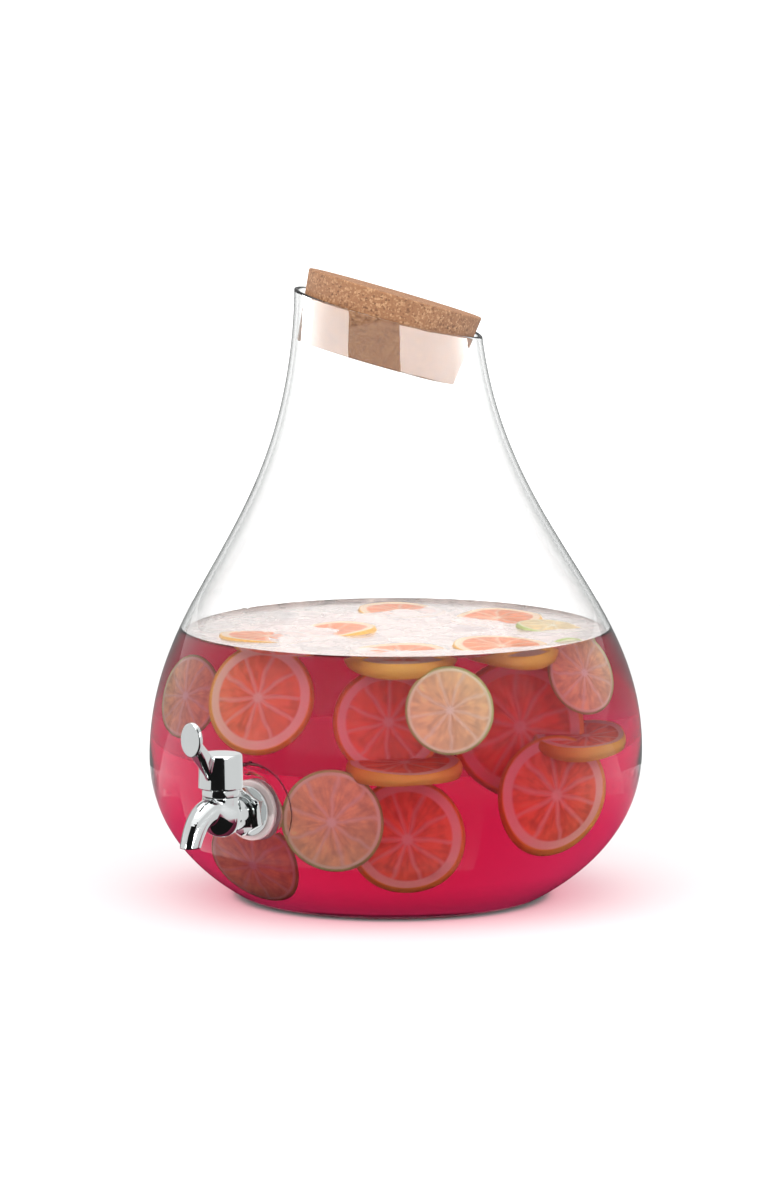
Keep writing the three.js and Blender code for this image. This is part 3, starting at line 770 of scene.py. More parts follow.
def ripple(mesh, first):
    """Small swells on the drink's surface, where fruit and fizz disturb it."""
    points = np.zeros(len(mesh.vertices) * 3, np.float32)
    mesh.vertices.foreach_get("co", points)
    points = points.reshape(-1, 3)
    top = np.arange(len(points)) >= first
    x, y = points[:, 0] / MM, points[:, 1] / MM
    swell = (np.sin(x / 9.1 + 1.3 * np.sin(y / 13.7)) * np.sin(y / 7.9 + 0.7 * np.sin(x / 11.3))
             + 0.5 * np.sin(x / 4.3 + y / 5.9) * np.sin(y / 3.7 - x / 6.1))
    away = np.hypot(points[:, 0], points[:, 1])
    calm = np.clip((CALM_FROM - away) / (20 * MM), 0, 1)
    points[:, 2] += np.where(top, swell * calm * SWELL, 0)
    mesh.vertices.foreach_set("co", points.ravel())
    mesh.update()


# ---------------------------------------------------------------- cast pieces

SPOUT_RISE = 3 * MM                 # start of the spout's line above the shank's axis
SPOUT_HUMP = 4 * MM                 # how far that line climbs before it turns down
BORE_HUMP = 5 * MM                  # the same for its bore, which starts on the shank's axis
BORE_ROOT = 3.2 * MM                # radius of the bore where it leaves the valve
SPOUT_CREST = 0.42                  # shares of the reach that shape the turn
SPOUT_BROW = 0.83
BROW_HEIGHT = 4 * MM
SPOUT_LEAN = 0.3                    # run over fall of the line past the outlet
OVERRUN = 2.5 * MM                  # how far the line goes on before it is cut level
CAST_SWELL = 1.4                    # power of the barrel's swelling towards the bulb


def spout_path(spigot, root, hump):
    """Line of the spout or of its bore: out from the valve, forward over a hump, and down."""
    reach = spigot.spout_reach
    return cubic([
        (VALVE_REACH, root),
        (VALVE_REACH + SPOUT_CREST * reach, root + hump),
        (VALVE_REACH + SPOUT_BROW * reach, BROW_HEIGHT),
        (VALVE_REACH + reach + SPOUT_LEAN * OVERRUN, -spigot.spout_drop - OVERRUN),
    ], np.linspace(0, 1, 33))[0]


def spout_body_mesh(s):
    """Shank, barrel, bulb, neck and spout in one casting, hollowed for the valve and the drink."""
    spout_line = spout_path(s, SPOUT_RISE, SPOUT_HUMP)
    bore_line = spout_path(s, 0.0, BORE_HUMP)
    spout_radii = np.linspace(s.spout_root, s.spout_end, len(spout_line))
    bore_radii = np.linspace(BORE_ROOT, s.spout_bore, len(bore_line))

    def field(x, u, h):
        around = np.hypot(x, h)
        from_valve = np.hypot(x, u - VALVE_REACH)
        shank = boxed(around - s.shank_radius, np.abs(u + s.shank_inside / 2 - 10 * MM)
                      - s.shank_inside / 2 - 10 * MM, 0.8 * MM)
        swell = np.clip((u - s.shoulder) / (VALVE_REACH - s.shoulder), 0, 1)
        barrel_radius = s.barrel_radius + (s.bulb_radius - s.barrel_radius) * swell ** CAST_SWELL
        length = (VALVE_REACH - s.shoulder) / 2
        barrel = boxed(around - barrel_radius, np.abs(u - s.shoulder - length) - length, 0.5 * MM)
        bulb = np.sqrt(x * x + (u - VALVE_REACH) ** 2 + h * h) - s.bulb_radius
        neck = boxed(from_valve - s.neck_radius, np.abs(h - s.neck_top / 2) - s.neck_top / 2,
                     0.3 * MM)
        spout = tube_field(x, u, h, spout_line, spout_radii)
        body = join_soft(join_soft(barrel, bulb, 1.0 * MM), spout, 3.0 * MM)
        body = join_soft(body, neck, 1.2 * MM)
        body = join_soft(body, shank, 0.3 * MM)
        body = meet_soft(body, -s.spout_drop - h, 0.5 * MM)
        chamber = np.maximum(from_valve - s.chamber_radius, s.chamber_floor - h)
        body = cut_soft(body, chamber, 0.3 * MM)
        way_in = np.maximum(around - s.shank_bore, u - VALVE_REACH)
        body = cut_soft(body, way_in, 0.5 * MM)
        body = cut_soft(body, tube_field(x, u, h, bore_line, bore_radii), 0.6 * MM)
        return np.maximum(body, h - s.neck_top)

    side = s.bulb_radius + 1.2 * MM
    mesh = implicit("spout_casting", field, (-side, -s.shank_inside - MM, -s.spout_drop - MM),
                    (side, VALVE_REACH + s.spout_reach + 8 * MM, s.neck_top + MM), s.cell)
    return set_in_spigot(mesh, SEAT_Y, SHANK_Z)


def set_in_spigot(mesh, seat, height):
    """Points given as across, outwards and up are set in the part's frame."""
    mesh.transform(Matrix.Translation((0, seat, height)) @ Matrix.Diagonal((1, -1, 1, 1)))
    face_outwards(mesh)
    return mesh


LEVER_ROOT = 0.4                    # share of the cap's radius where the lever starts inside it
LEVER_CREST = 0.86                  # share of it where the lever's upper edge leaves the cap
LEVER_TIP = 4 * MM                  # lower tip of the gusset above the cap's lower edge
LEVER_TAPER = 0.35                  # thickness at that tip, as a share of the full thickness
LEVER_ROUND = 3.0 * MM              # rounding of the lever's edges
GRIP_LOW = 0.36                     # shares of the paddle's height that the lever holds it by
GRIP_HIGH = 0.13
DISH_SHARE = 0.82                   # how much of the paddle its hollow takes up


def handle_mesh(h, cell):
    """Cap, lever and thumb paddle of the handle, in one casting."""
    cap_middle = h.height / 2

    def field(x, u, z):
        around = np.hypot(x, u)
        lean = h.bottom_radius + (h.top_radius - h.bottom_radius) * np.clip(z / h.height, 0, 1)
        edge = np.where(z > cap_middle, h.top_round, 0.5 * MM)
        cap = boxed(around - lean, np.abs(z - cap_middle) - cap_middle, edge)
        back = h.paddle_reach - h.paddle_thickness / 2 + MM
        side = polygon_field(u, z, [
            (LEVER_ROOT * h.top_radius, LEVER_TIP + 2 * MM),
            (h.top_radius - 0.2 * MM, LEVER_TIP + 1.4 * MM),
            (back, h.paddle_rise - GRIP_LOW * h.paddle_height),
            (back, h.paddle_rise + GRIP_HIGH * h.paddle_height),
            (LEVER_CREST * h.top_radius, h.height - 0.7 * MM),
            (LEVER_ROOT * h.top_radius, h.height - 1.6 * MM),
        ])
        rise = np.clip((z - LEVER_TIP) / (h.height - LEVER_TIP), 0, 1)
        half = h.lever_width / 2 * (LEVER_TAPER + (1 - LEVER_TAPER) * rise)
        lever = boxed(side, np.abs(x) - half, LEVER_ROUND)
        across, up = x / (h.paddle_width / 2), (z - h.paddle_rise) / (h.paddle_height / 2)
        out = np.hypot(across, up)
        oval = (out - 1) * h.paddle_width / 2 / np.maximum(
            np.hypot(across, up * h.paddle_width / h.paddle_height) / np.maximum(out, 1e-6), 0.2)
        dish = h.dish * np.clip(1 - (out / DISH_SHARE) ** 2, 0, 1)
        front = np.maximum(u - h.paddle_reach + dish, h.paddle_reach - u)
        paddle = boxed(oval, front - h.paddle_thickness / 2, 0.8 * MM)
        body = join_soft(cap, lever, 1.0 * MM)
        body = join_soft(body, paddle, 1.6 * MM)
        stem = boxed(around - h.stem_bore, np.abs(z) - h.stem_depth, 0.3 * MM)
        body = cut_soft(body, stem, 0.3 * MM)
        screw = np.maximum(np.hypot(x, z - h.screw_height) - h.screw_hole, u)
        return cut_soft(body, screw, 0.3 * MM)

    wide = h.bottom_radius + MM
    mesh = implicit("handle_casting", field, (-wide, -wide, -MM),
                    (wide, h.paddle_reach + 4 * MM, h.paddle_rise + h.paddle_height / 2 + MM),
                    cell)
    return set_in_spigot(mesh, VALVE_Y, SHANK_Z + CAP_FLOOR)


CHAMFER = 1.6 * MM                  # of a nut's corners, measured along its radius
CHAMFER_RISE = 0.7                  # and up its axis, as a share of that
CHAMFER_OPENING = 1.2               # how much wider its cone opens, as a share of that
FLAT_CLEAR = 0.2 * MM               # how far inside the flats the cone starts, at the least


def hex_nut(name, flats, bore, low, high, flange=0.0, flange_height=0.0):
    """Six-sided nut with chamfered corners, and a round flange at its low end if one is given."""
    sides = 120
    turns = np.arange(sides) * TAU / sides
    flat = flats / 2
    within = (turns + math.pi / 6) % (math.pi / 3) - math.pi / 6
    hexagon = flat / np.cos(within)
    start = low + flange_height
    rings = []

    def ring(radius, z):
        rings.append(np.stack([radius * np.cos(turns), radius * np.sin(turns),
                               np.full(sides, z)], 1))

    def cut(share):
        """Corners of the nut where this share of the chamfer's rise is behind it."""
        cone = flat - FLAT_CLEAR + (share * CHAMFER + FLAT_CLEAR) * CHAMFER_OPENING
        return np.minimum(hexagon, cone)

    ring(np.full(sides, bore), low)
    if flange:
        ring(np.full(sides, flange - 0.4 * MM), low)
        ring(np.full(sides, flange - 0.1 * MM), low + 0.15 * MM)
        ring(np.full(sides, flange), low + 0.5 * MM)
        ring(np.full(sides, flange - 0.1 * MM), start - 0.4 * MM)
        ring(np.full(sides, flange - 0.5 * MM), start - 0.1 * MM)
        ring(hexagon, start)
    else:
        for share in (0, 0.4, 0.8, 1):
            ring(cut(share), low + share * CHAMFER * CHAMFER_RISE)
    for share in (1, 0.75, 0.5, 0.25, 0):
        ring(cut(share), high - CHAMFER * CHAMFER_RISE * share)
    ring(np.full(sides, bore + 0.4 * MM), high)
    ring(np.full(sides, bore), high - 0.4 * MM)
    mesh = skin(name, rings, closed=True)
    mesh.transform(along_shank())
    crease(mesh, 32)
    return mesh


# ---------------------------------------------------------------- materials: glass and drink

# The wall is two faces where it is dry and three where the drink overlaps it, and each of them
# reflects, so each face keeps only this share of its usual reflection.
WETTED = 0.12
DRY = 0.5


def glass_material(v, level):
    """Soda-lime glass, blown and fire-polished: clear and colourless when looked through, with
    painted shade, a grey-green darkening where the dry wall is seen edge-on that stands in for
    dark surroundings seen at the edges, and faint waves left by the blowing."""
    material, tree, output = new_material("soda_lime_glass_blown")
    place = add(tree, "ShaderNodeTexCoord").outputs["Object"]
    height = add(tree, "ShaderNodeSeparateXYZ", {0: place}).outputs["Z"]
    dry = add(tree, "ShaderNodeMapRange", {
        "Value": height, "From Min": level - 1 * MM, "From Max": level + 2 * MM,
    }).outputs["Result"]
    # Painted shade: above the drink, the wall darkens towards the edge tint where it is seen
    # edge-on.
    facing = add(tree, "ShaderNodeLayerWeight", {"Blend": 0.5}).outputs["Facing"]
    edge = add(tree, "ShaderNodeValToRGB", {0: facing})
    set_stops(edge, [(0.42, gray(0.0)), (0.58, gray(0.14)), (0.74, gray(0.32)),
                     (0.82, gray(0.66)), (0.88, gray(0.9)), (1.0, gray(1.0))])
    edge_shade_amount = add(tree, "ShaderNodeMath", {0: edge.outputs["Color"], 1: dry}, operation="MULTIPLY")
    edge_shaded = add(tree, "ShaderNodeMix", {
        "Factor": edge_shade_amount.outputs[0], "A": linear("#FFFFFF"), "B": tuple(v.tint),
    }, data_type="RGBA")
    # Blowing leaves waves some 30 mm long and a few hundredths of a millimetre high.
    waves = add(tree, "ShaderNodeTexNoise", {
        "Vector": place, "Scale": 30.0, "Detail": 1.0, "Roughness": 0.4,
    })
    bump = add(tree, "ShaderNodeBump", {
        "Height": waves.outputs["Fac"], "Strength": 0.02, "Distance": 1 * MM,
    })
    gloss = add(tree, "ShaderNodeMath", {0: dry, 1: DRY - WETTED, 2: WETTED},
                operation="MULTIPLY_ADD")
    shader = add(tree, "ShaderNodeBsdfPrincipled", {
        "Base Color": edge_shaded.outputs["Result"], "Roughness": 0.0, "IOR": 1.5,
        "Transmission Weight": 1.0, "Specular Tint": gloss.outputs[0],
        "Normal": bump.outputs["Normal"],
    })
    tree.links.new(shader.outputs["BSDF"], output.inputs["Surface"])
    return material


DENSITY = 30.0                      # per metre; more than any colour loses


def add_absorption(tree, output, d):
    """Red, green and blue lost over each metre of drink, as one colour and one density."""
    lost = (d.depth_red, d.depth_green, d.depth_blue)
    tint = (*[1 - value / DENSITY for value in lost], 1.0)
    volume = add(tree, "ShaderNodeVolumeAbsorption", {"Color": tint, "Density": DENSITY})
    tree.links.new(volume.outputs["Volume"], output.inputs["Volume"])


FOOT_SHADE_FROM = 6 * MM                 # painted shade by the foot fades out between these heights
FOOT_SHADE_TO = 28 * MM


def drink_material(d):
    """Raspberry and red-wine punch: clear, deep red through its whole depth and pink where it
    is thin, as it takes away green and blue light along the way, and with painted shade that
    makes it darker by the foot."""
    material, tree, output = new_material("red_punch")
    place = add(tree, "ShaderNodeTexCoord").outputs["Object"]
    height = add(tree, "ShaderNodeSeparateXYZ", {0: place}).outputs["Z"]
    # Painted shade: the drink's colour darkens towards the foot, below these heights.
    clearing = add(tree, "ShaderNodeMapRange", {
        "Value": height, "From Min": FOOT_SHADE_FROM, "From Max": FOOT_SHADE_TO,
    }, interpolation_type="SMOOTHSTEP")
    foot_shade = add(tree, "ShaderNodeMix", {
        "Factor": clearing.outputs["Result"], "A": tuple(d.foot_shade), "B": linear("#FFFFFF"),
    }, data_type="RGBA")
    shader = add(tree, "ShaderNodeBsdfPrincipled", {
        "Base Color": foot_shade.outputs["Result"], "Roughness": 0.0, "IOR": 1.34,
        "Transmission Weight": 1.0, "Specular Tint": gray(WETTED),
    })
    tree.links.new(shader.outputs["BSDF"], output.inputs["Surface"])
    add_absorption(tree, output, d)
    return material


def fizz_material(d):
    """The punch's surface: wet and smooth, with a thin pale bloom of fizz and fruit oil that
    whitens it, thicker in drifts some 20 mm across."""
    material, tree, output = new_material("punch_surface_fizz")
    place = add(tree, "ShaderNodeTexCoord").outputs["Object"]
    drifts = add(tree, "ShaderNodeTexNoise", {
        "Vector": place, "Scale": 45.0, "Detail": 5.0, "Roughness": 0.62, "Distortion": 0.6,
    })
    spread = add(tree, "ShaderNodeValToRGB", {0: drifts.outputs["Fac"]})
    set_stops(spread, [(0.30, gray(0.75)), (0.52, gray(0.5)), (0.74, gray(0.2))])
    bubbles = add(tree, "ShaderNodeTexVoronoi", {"Vector": place, "Scale": 600.0})
    bump = add(tree, "ShaderNodeBump", {
        "Height": bubbles.outputs["Distance"], "Strength": 0.12, "Distance": 0.4 * MM,
    })
    clear = add(tree, "ShaderNodeBsdfPrincipled", {
        "Base Color": linear("#FFFFFF"), "Roughness": 0.03, "IOR": 1.34,
        "Transmission Weight": 1.0, "Normal": bump.outputs["Normal"],
    })
    bloom = add(tree, "ShaderNodeBsdfPrincipled", {
        "Base Color": linear("#D8C2BA"), "Roughness": 0.25, "IOR": 1.34,
        "Normal": bump.outputs["Normal"],
    })
    mixed = add(tree, "ShaderNodeMixShader", {
        0: spread.outputs["Color"], 1: clear.outputs["BSDF"], 2: bloom.outputs["BSDF"],
    })
    tree.links.new(mixed.outputs["Shader"], output.inputs["Surface"])
    add_absorption(tree, output, d)
    return material


# ---------------------------------------------------------------- materials: cork and metal

def cork_material(s):
    """Agglomerated cork, pressed from granules and ground smooth: tan and buff granules, a few
    dark flecks of bark, fine pits between them and a dry matt surface."""
    material, tree, output = new_material("agglomerated_cork_ground")
    place = add(tree, "ShaderNodeTexCoord").outputs["Object"]
    per_metre = 1 / s.granule
    warp = add(tree, "ShaderNodeTexNoise", {"Vector": place, "Scale": per_metre * 0.8,
                                            "Detail": 2.0})
    bent = add(tree, "ShaderNodeVectorMath", {
        0: warp.outputs["Color"], 1: (0.9 * MM, 0.9 * MM, 0.9 * MM),
    }, operation="MULTIPLY")
    where = add(tree, "ShaderNodeVectorMath", {0: place, 1: bent.outputs[0]}, operation="ADD")
    granules = add(tree, "ShaderNodeTexVoronoi", {"Vector": where.outputs[0],
                                                  "Scale": per_metre})
    gaps = add(tree, "ShaderNodeTexVoronoi", {"Vector": where.outputs[0], "Scale": per_metre},
               feature="DISTANCE_TO_EDGE")
    pick = add(tree, "ShaderNodeSeparateColor", {0: granules.outputs["Color"]})
    tone = add(tree, "ShaderNodeValToRGB", {0: pick.outputs["Red"]})
    set_stops(tone, [(0.0, tuple(s.dark)), (0.16, tuple(s.body)), (0.6, tuple(s.body)),
                     (1.0, tuple(s.light))])
    mottle = add(tree, "ShaderNodeTexNoise", {
        "Vector": place, "Scale": per_metre * 2.6, "Detail": 6.0, "Roughness": 0.7,
    })
    speck = add(tree, "ShaderNodeValToRGB", {0: mottle.outputs["Fac"]})
    set_stops(speck, [(0.30, gray(0.55)), (0.44, gray(0.92)), (0.60, gray(1.0)),
                      (0.75, gray(1.12))])
    seam = add(tree, "ShaderNodeMapRange", {
        "Value": gaps.outputs["Distance"], "From Min": 0.0, "From Max": 0.10,
        "To Min": 0.80, "To Max": 1.0,
    })
    shade = add(tree, "ShaderNodeMath", {0: speck.outputs["Color"], 1: seam.outputs["Result"]},
                operation="MULTIPLY")
    coloured = add(tree, "ShaderNodeVectorMath", {0: tone.outputs["Color"], 1: shade.outputs[0]},
                   operation="MULTIPLY")
    relief = add(tree, "ShaderNodeBump", {
        "Height": shade.outputs[0], "Strength": 0.55, "Distance": 0.35 * MM,
    })
    shader = add(tree, "ShaderNodeBsdfPrincipled", {
        "Base Color": coloured.outputs[0], "Roughness": 0.86, "IOR": 1.45,
        "Specular IOR Level": 0.35, "Normal": relief.outputs["Normal"],
    })
    tree.links.new(shader.outputs["BSDF"], output.inputs["Surface"])
    return material


def metal_material(name, code, roughness, uneven, grain, wear):
    """Metal with a roughness that drifts a little, and fine grinding marks as relief."""
    material, tree, output = new_material(name)
    place = add(tree, "ShaderNodeTexCoord").outputs["Object"]
    drift = add(tree, "ShaderNodeTexNoise", {"Vector": place, "Scale": 140.0, "Detail": 3.0})
    rough = add(tree, "ShaderNodeMapRange", {
        "Value": drift.outputs["Fac"], "From Min": 0.3, "From Max": 0.7,
        "To Min": roughness, "To Max": roughness + uneven,
    })
    marks = add(tree, "ShaderNodeTexNoise", {"Vector": place, "Scale": grain, "Detail": 2.0})
    bump = add(tree, "ShaderNodeBump", {
        "Height": marks.outputs["Fac"], "Strength": wear, "Distance": 0.05 * MM,
    })
    shader = add(tree, "ShaderNodeBsdfPrincipled", {
        "Base Color": linear(code), "Metallic": 1.0, "Roughness": rough.outputs["Result"],
        "Normal": bump.outputs["Normal"],
    })
    tree.links.new(shader.outputs["BSDF"], output.inputs["Surface"])
    return material


def polished_steel():
    """Stainless steel, cast and mirror-polished: clean bright reflections, barely softened."""
    return metal_material("stainless_steel_mirror_polished", "#CDD0D0", 0.05, 0.04, 900.0, 0.02)


def turned_steel():
    """Stainless steel, as turned: grey and satin, with fine tool marks about 0.3 mm apart."""
    return metal_material("stainless_steel_turned", "#B7B9BA", 0.26, 0.1, 3300.0, 0.25)


def soft_material(name, code, roughness, through, grain):
    """Moulded soft or plastic piece: an even colour with a faint mould texture. through is how
    much light passes into it."""
    material, tree, output = new_material(name)
    place = add(tree, "ShaderNodeTexCoord").outputs["Object"]
    cloud = add(tree, "ShaderNodeTexNoise", {"Vector": place, "Scale": 90.0, "Detail": 3.0})
    tone = add(tree, "ShaderNodeValToRGB", {0: cloud.outputs["Fac"]})
    base = linear(code)
    set_stops(tone, [(0.3, (*[c * 0.93 for c in base[:3]], 1.0)), (0.7, base)])
    marks = add(tree, "ShaderNodeTexNoise", {"Vector": place, "Scale": grain, "Detail": 2.0})
    bump = add(tree, "ShaderNodeBump", {
        "Height": marks.outputs["Fac"], "Strength": 0.1, "Distance": 0.1 * MM,
    })
    shader = add(tree, "ShaderNodeBsdfPrincipled", {
        "Base Color": tone.outputs["Color"], "Roughness": roughness, "IOR": 1.42,
        "Transmission Weight": through, "Normal": bump.outputs["Normal"],
    })
    tree.links.new(shader.outputs["BSDF"], output.inputs["Surface"])
    return material


def silicone():
    """Silicone rubber, moulded: milky, half translucent, with a soft sheen."""
    return soft_material("silicone_rubber_moulded", "#F0E2E0", 0.32, 0.6, 1500.0)


def nitrile():
    """Nitrile rubber, moulded: black with a dull sheen and a film of grease."""
    return soft_material("nitrile_rubber_moulded", "#26272A", 0.5, 0.0, 2500.0)


def nylon():
    """Nylon, turned from bar: off-white and faintly waxy."""
    return soft_material("nylon_turned", "#EFEBDF", 0.42, 0.0, 2500.0)


# ---------------------------------------------------------------- materials: fruit

def citrus_material(name, rind, pulp, pith, membrane, segments, peel):
    """Cut citrus: wedges of juice cells that run out from the core, thin pale membranes, a
    white pith ring and an oily, dimpled rind. The pattern follows the slice's own points,
    kept on the mesh as shares of its radius and thickness."""
    material, tree, output = new_material(name)
    local = add(tree, "ShaderNodeAttribute", attribute_name="cut").outputs["Vector"]
    split = add(tree, "ShaderNodeSeparateXYZ", {0: local})
    x, y = split.outputs["X"], split.outputs["Y"]
    flat = add(tree, "ShaderNodeCombineXYZ", {0: x, 1: y})
    out = add(tree, "ShaderNodeVectorMath", {0: flat.outputs[0]}, operation="LENGTH")
    out = out.outputs["Value"]
    turn = add(tree, "ShaderNodeMath", {0: y, 1: x}, operation="ARCTAN2").outputs[0]
    sector = add(tree, "ShaderNodeMath", {0: turn, 1: segments / TAU}, operation="MULTIPLY")
    wobble = add(tree, "ShaderNodeTexNoise", {"Vector": local, "Scale": 2.2, "Detail": 1.0})
    sway = add(tree, "ShaderNodeMath", {0: wobble.outputs["Fac"], 1: 0.5, 2: sector.outputs[0]},
               operation="MULTIPLY_ADD")
    part = add(tree, "ShaderNodeMath", {0: sway.outputs[0]}, operation="FRACT")
    middle = add(tree, "ShaderNodeMath", {0: part.outputs[0], 1: 0.5}, operation="SUBTRACT")
    offset = add(tree, "ShaderNodeMath", {0: middle.outputs[0]}, operation="ABSOLUTE")
    # Distance from the nearest membrane, as a share of the slice's radius.
    gap = add(tree, "ShaderNodeMath", {0: 0.5, 1: offset.outputs[0]}, operation="SUBTRACT")
    width = add(tree, "ShaderNodeMath", {0: gap.outputs[0], 1: out}, operation="MULTIPLY")
    skin_mask = add(tree, "ShaderNodeMapRange", {
        "Value": width.outputs[0], "From Min": 0.0, "From Max": 0.09,
        "To Min": 0.62, "To Max": 0.0,
    })
    # Juice cells: long drops, many across a wedge and few along it.
    cell_place = add(tree, "ShaderNodeCombineXYZ", {
        0: add(tree, "ShaderNodeMath", {0: turn, 1: 9.0}, operation="MULTIPLY").outputs[0],
        1: add(tree, "ShaderNodeMath", {0: out, 1: 5.0}, operation="MULTIPLY").outputs[0],
    })
    cells = add(tree, "ShaderNodeTexVoronoi", {
        "Vector": cell_place.outputs[0], "Scale": 1.0, "Randomness": 1.0,
    }, feature="SMOOTH_F1")
    cell_tone = add(tree, "ShaderNodeMapRange", {
        "Value": cells.outputs["Distance"], "From Min": 0.1, "From Max": 0.8,
        "To Min": 1.1, "To Max": 0.78,
    })
    patches = add(tree, "ShaderNodeTexNoise", {
        "Vector": local, "Scale": 3.2, "Detail": 4.0, "Roughness": 0.65,
    })
    patch_tone = add(tree, "ShaderNodeMapRange", {
        "Value": patches.outputs["Fac"], "From Min": 0.32, "From Max": 0.68,
        "To Min": 0.78, "To Max": 1.18,
    })
    tone = add(tree, "ShaderNodeMath", {
        0: cell_tone.outputs["Result"], 1: patch_tone.outputs["Result"],
    }, operation="MULTIPLY")
    flesh = add(tree, "ShaderNodeVectorMath", {
        0: tuple(pulp)[:3], 1: tone.outputs[0],
    }, operation="MULTIPLY")
    webbed = add(tree, "ShaderNodeMix", {
        "Factor": skin_mask.outputs["Result"], "A": flesh.outputs[0], "B": linear(membrane),
    }, data_type="RGBA")
    core = add(tree, "ShaderNodeMapRange", {
        "Value": out, "From Min": 0.06, "From Max": 0.12, "To Min": 1.0, "To Max": 0.0,
    })
    cored = add(tree, "ShaderNodeMix", {
        "Factor": core.outputs["Result"], "A": webbed.outputs["Result"], "B": linear(membrane),
    }, data_type="RGBA")
    ring = add(tree, "ShaderNodeMapRange", {
        "Value": out, "From Min": peel - 0.05, "From Max": peel,
    }, interpolation_type="SMOOTHSTEP")
    pithed = add(tree, "ShaderNodeMix", {
        "Factor": ring.outputs["Result"], "A": cored.outputs["Result"], "B": linear(pith),
    }, data_type="RGBA")
    zest = add(tree, "ShaderNodeMapRange", {
        "Value": out, "From Min": 0.35 * peel + 0.63, "From Max": 0.2 * peel + 0.79,
    }, interpolation_type="SMOOTHSTEP")
    coloured = add(tree, "ShaderNodeMix", {
        "Factor": zest.outputs["Result"], "A": pithed.outputs["Result"], "B": tuple(rind),
    }, data_type="RGBA")
    dimples = add(tree, "ShaderNodeTexVoronoi", {"Vector": local, "Scale": 26.0})
    oil = add(tree, "ShaderNodeMath", {
        0: dimples.outputs["Distance"], 1: zest.outputs["Result"],
    }, operation="MULTIPLY")
    height = add(tree, "ShaderNodeMath", {
        0: cells.outputs["Distance"], 1: -0.6, 2: oil.outputs[0],
    }, operation="MULTIPLY_ADD")
    bump = add(tree, "ShaderNodeBump", {
        "Height": height.outputs[0], "Strength": 0.5, "Distance": 0.5 * MM,
    })
    shader = add(tree, "ShaderNodeBsdfPrincipled", {
        "Base Color": coloured.outputs["Result"], "Roughness": 0.45, "IOR": 1.36,
        "Transmission Weight": 0.45, "Normal": bump.outputs["Normal"],
    })
    tree.links.new(shader.outputs["BSDF"], output.inputs["Surface"])
    return material


# ---------------------------------------------------------------- fruit slices

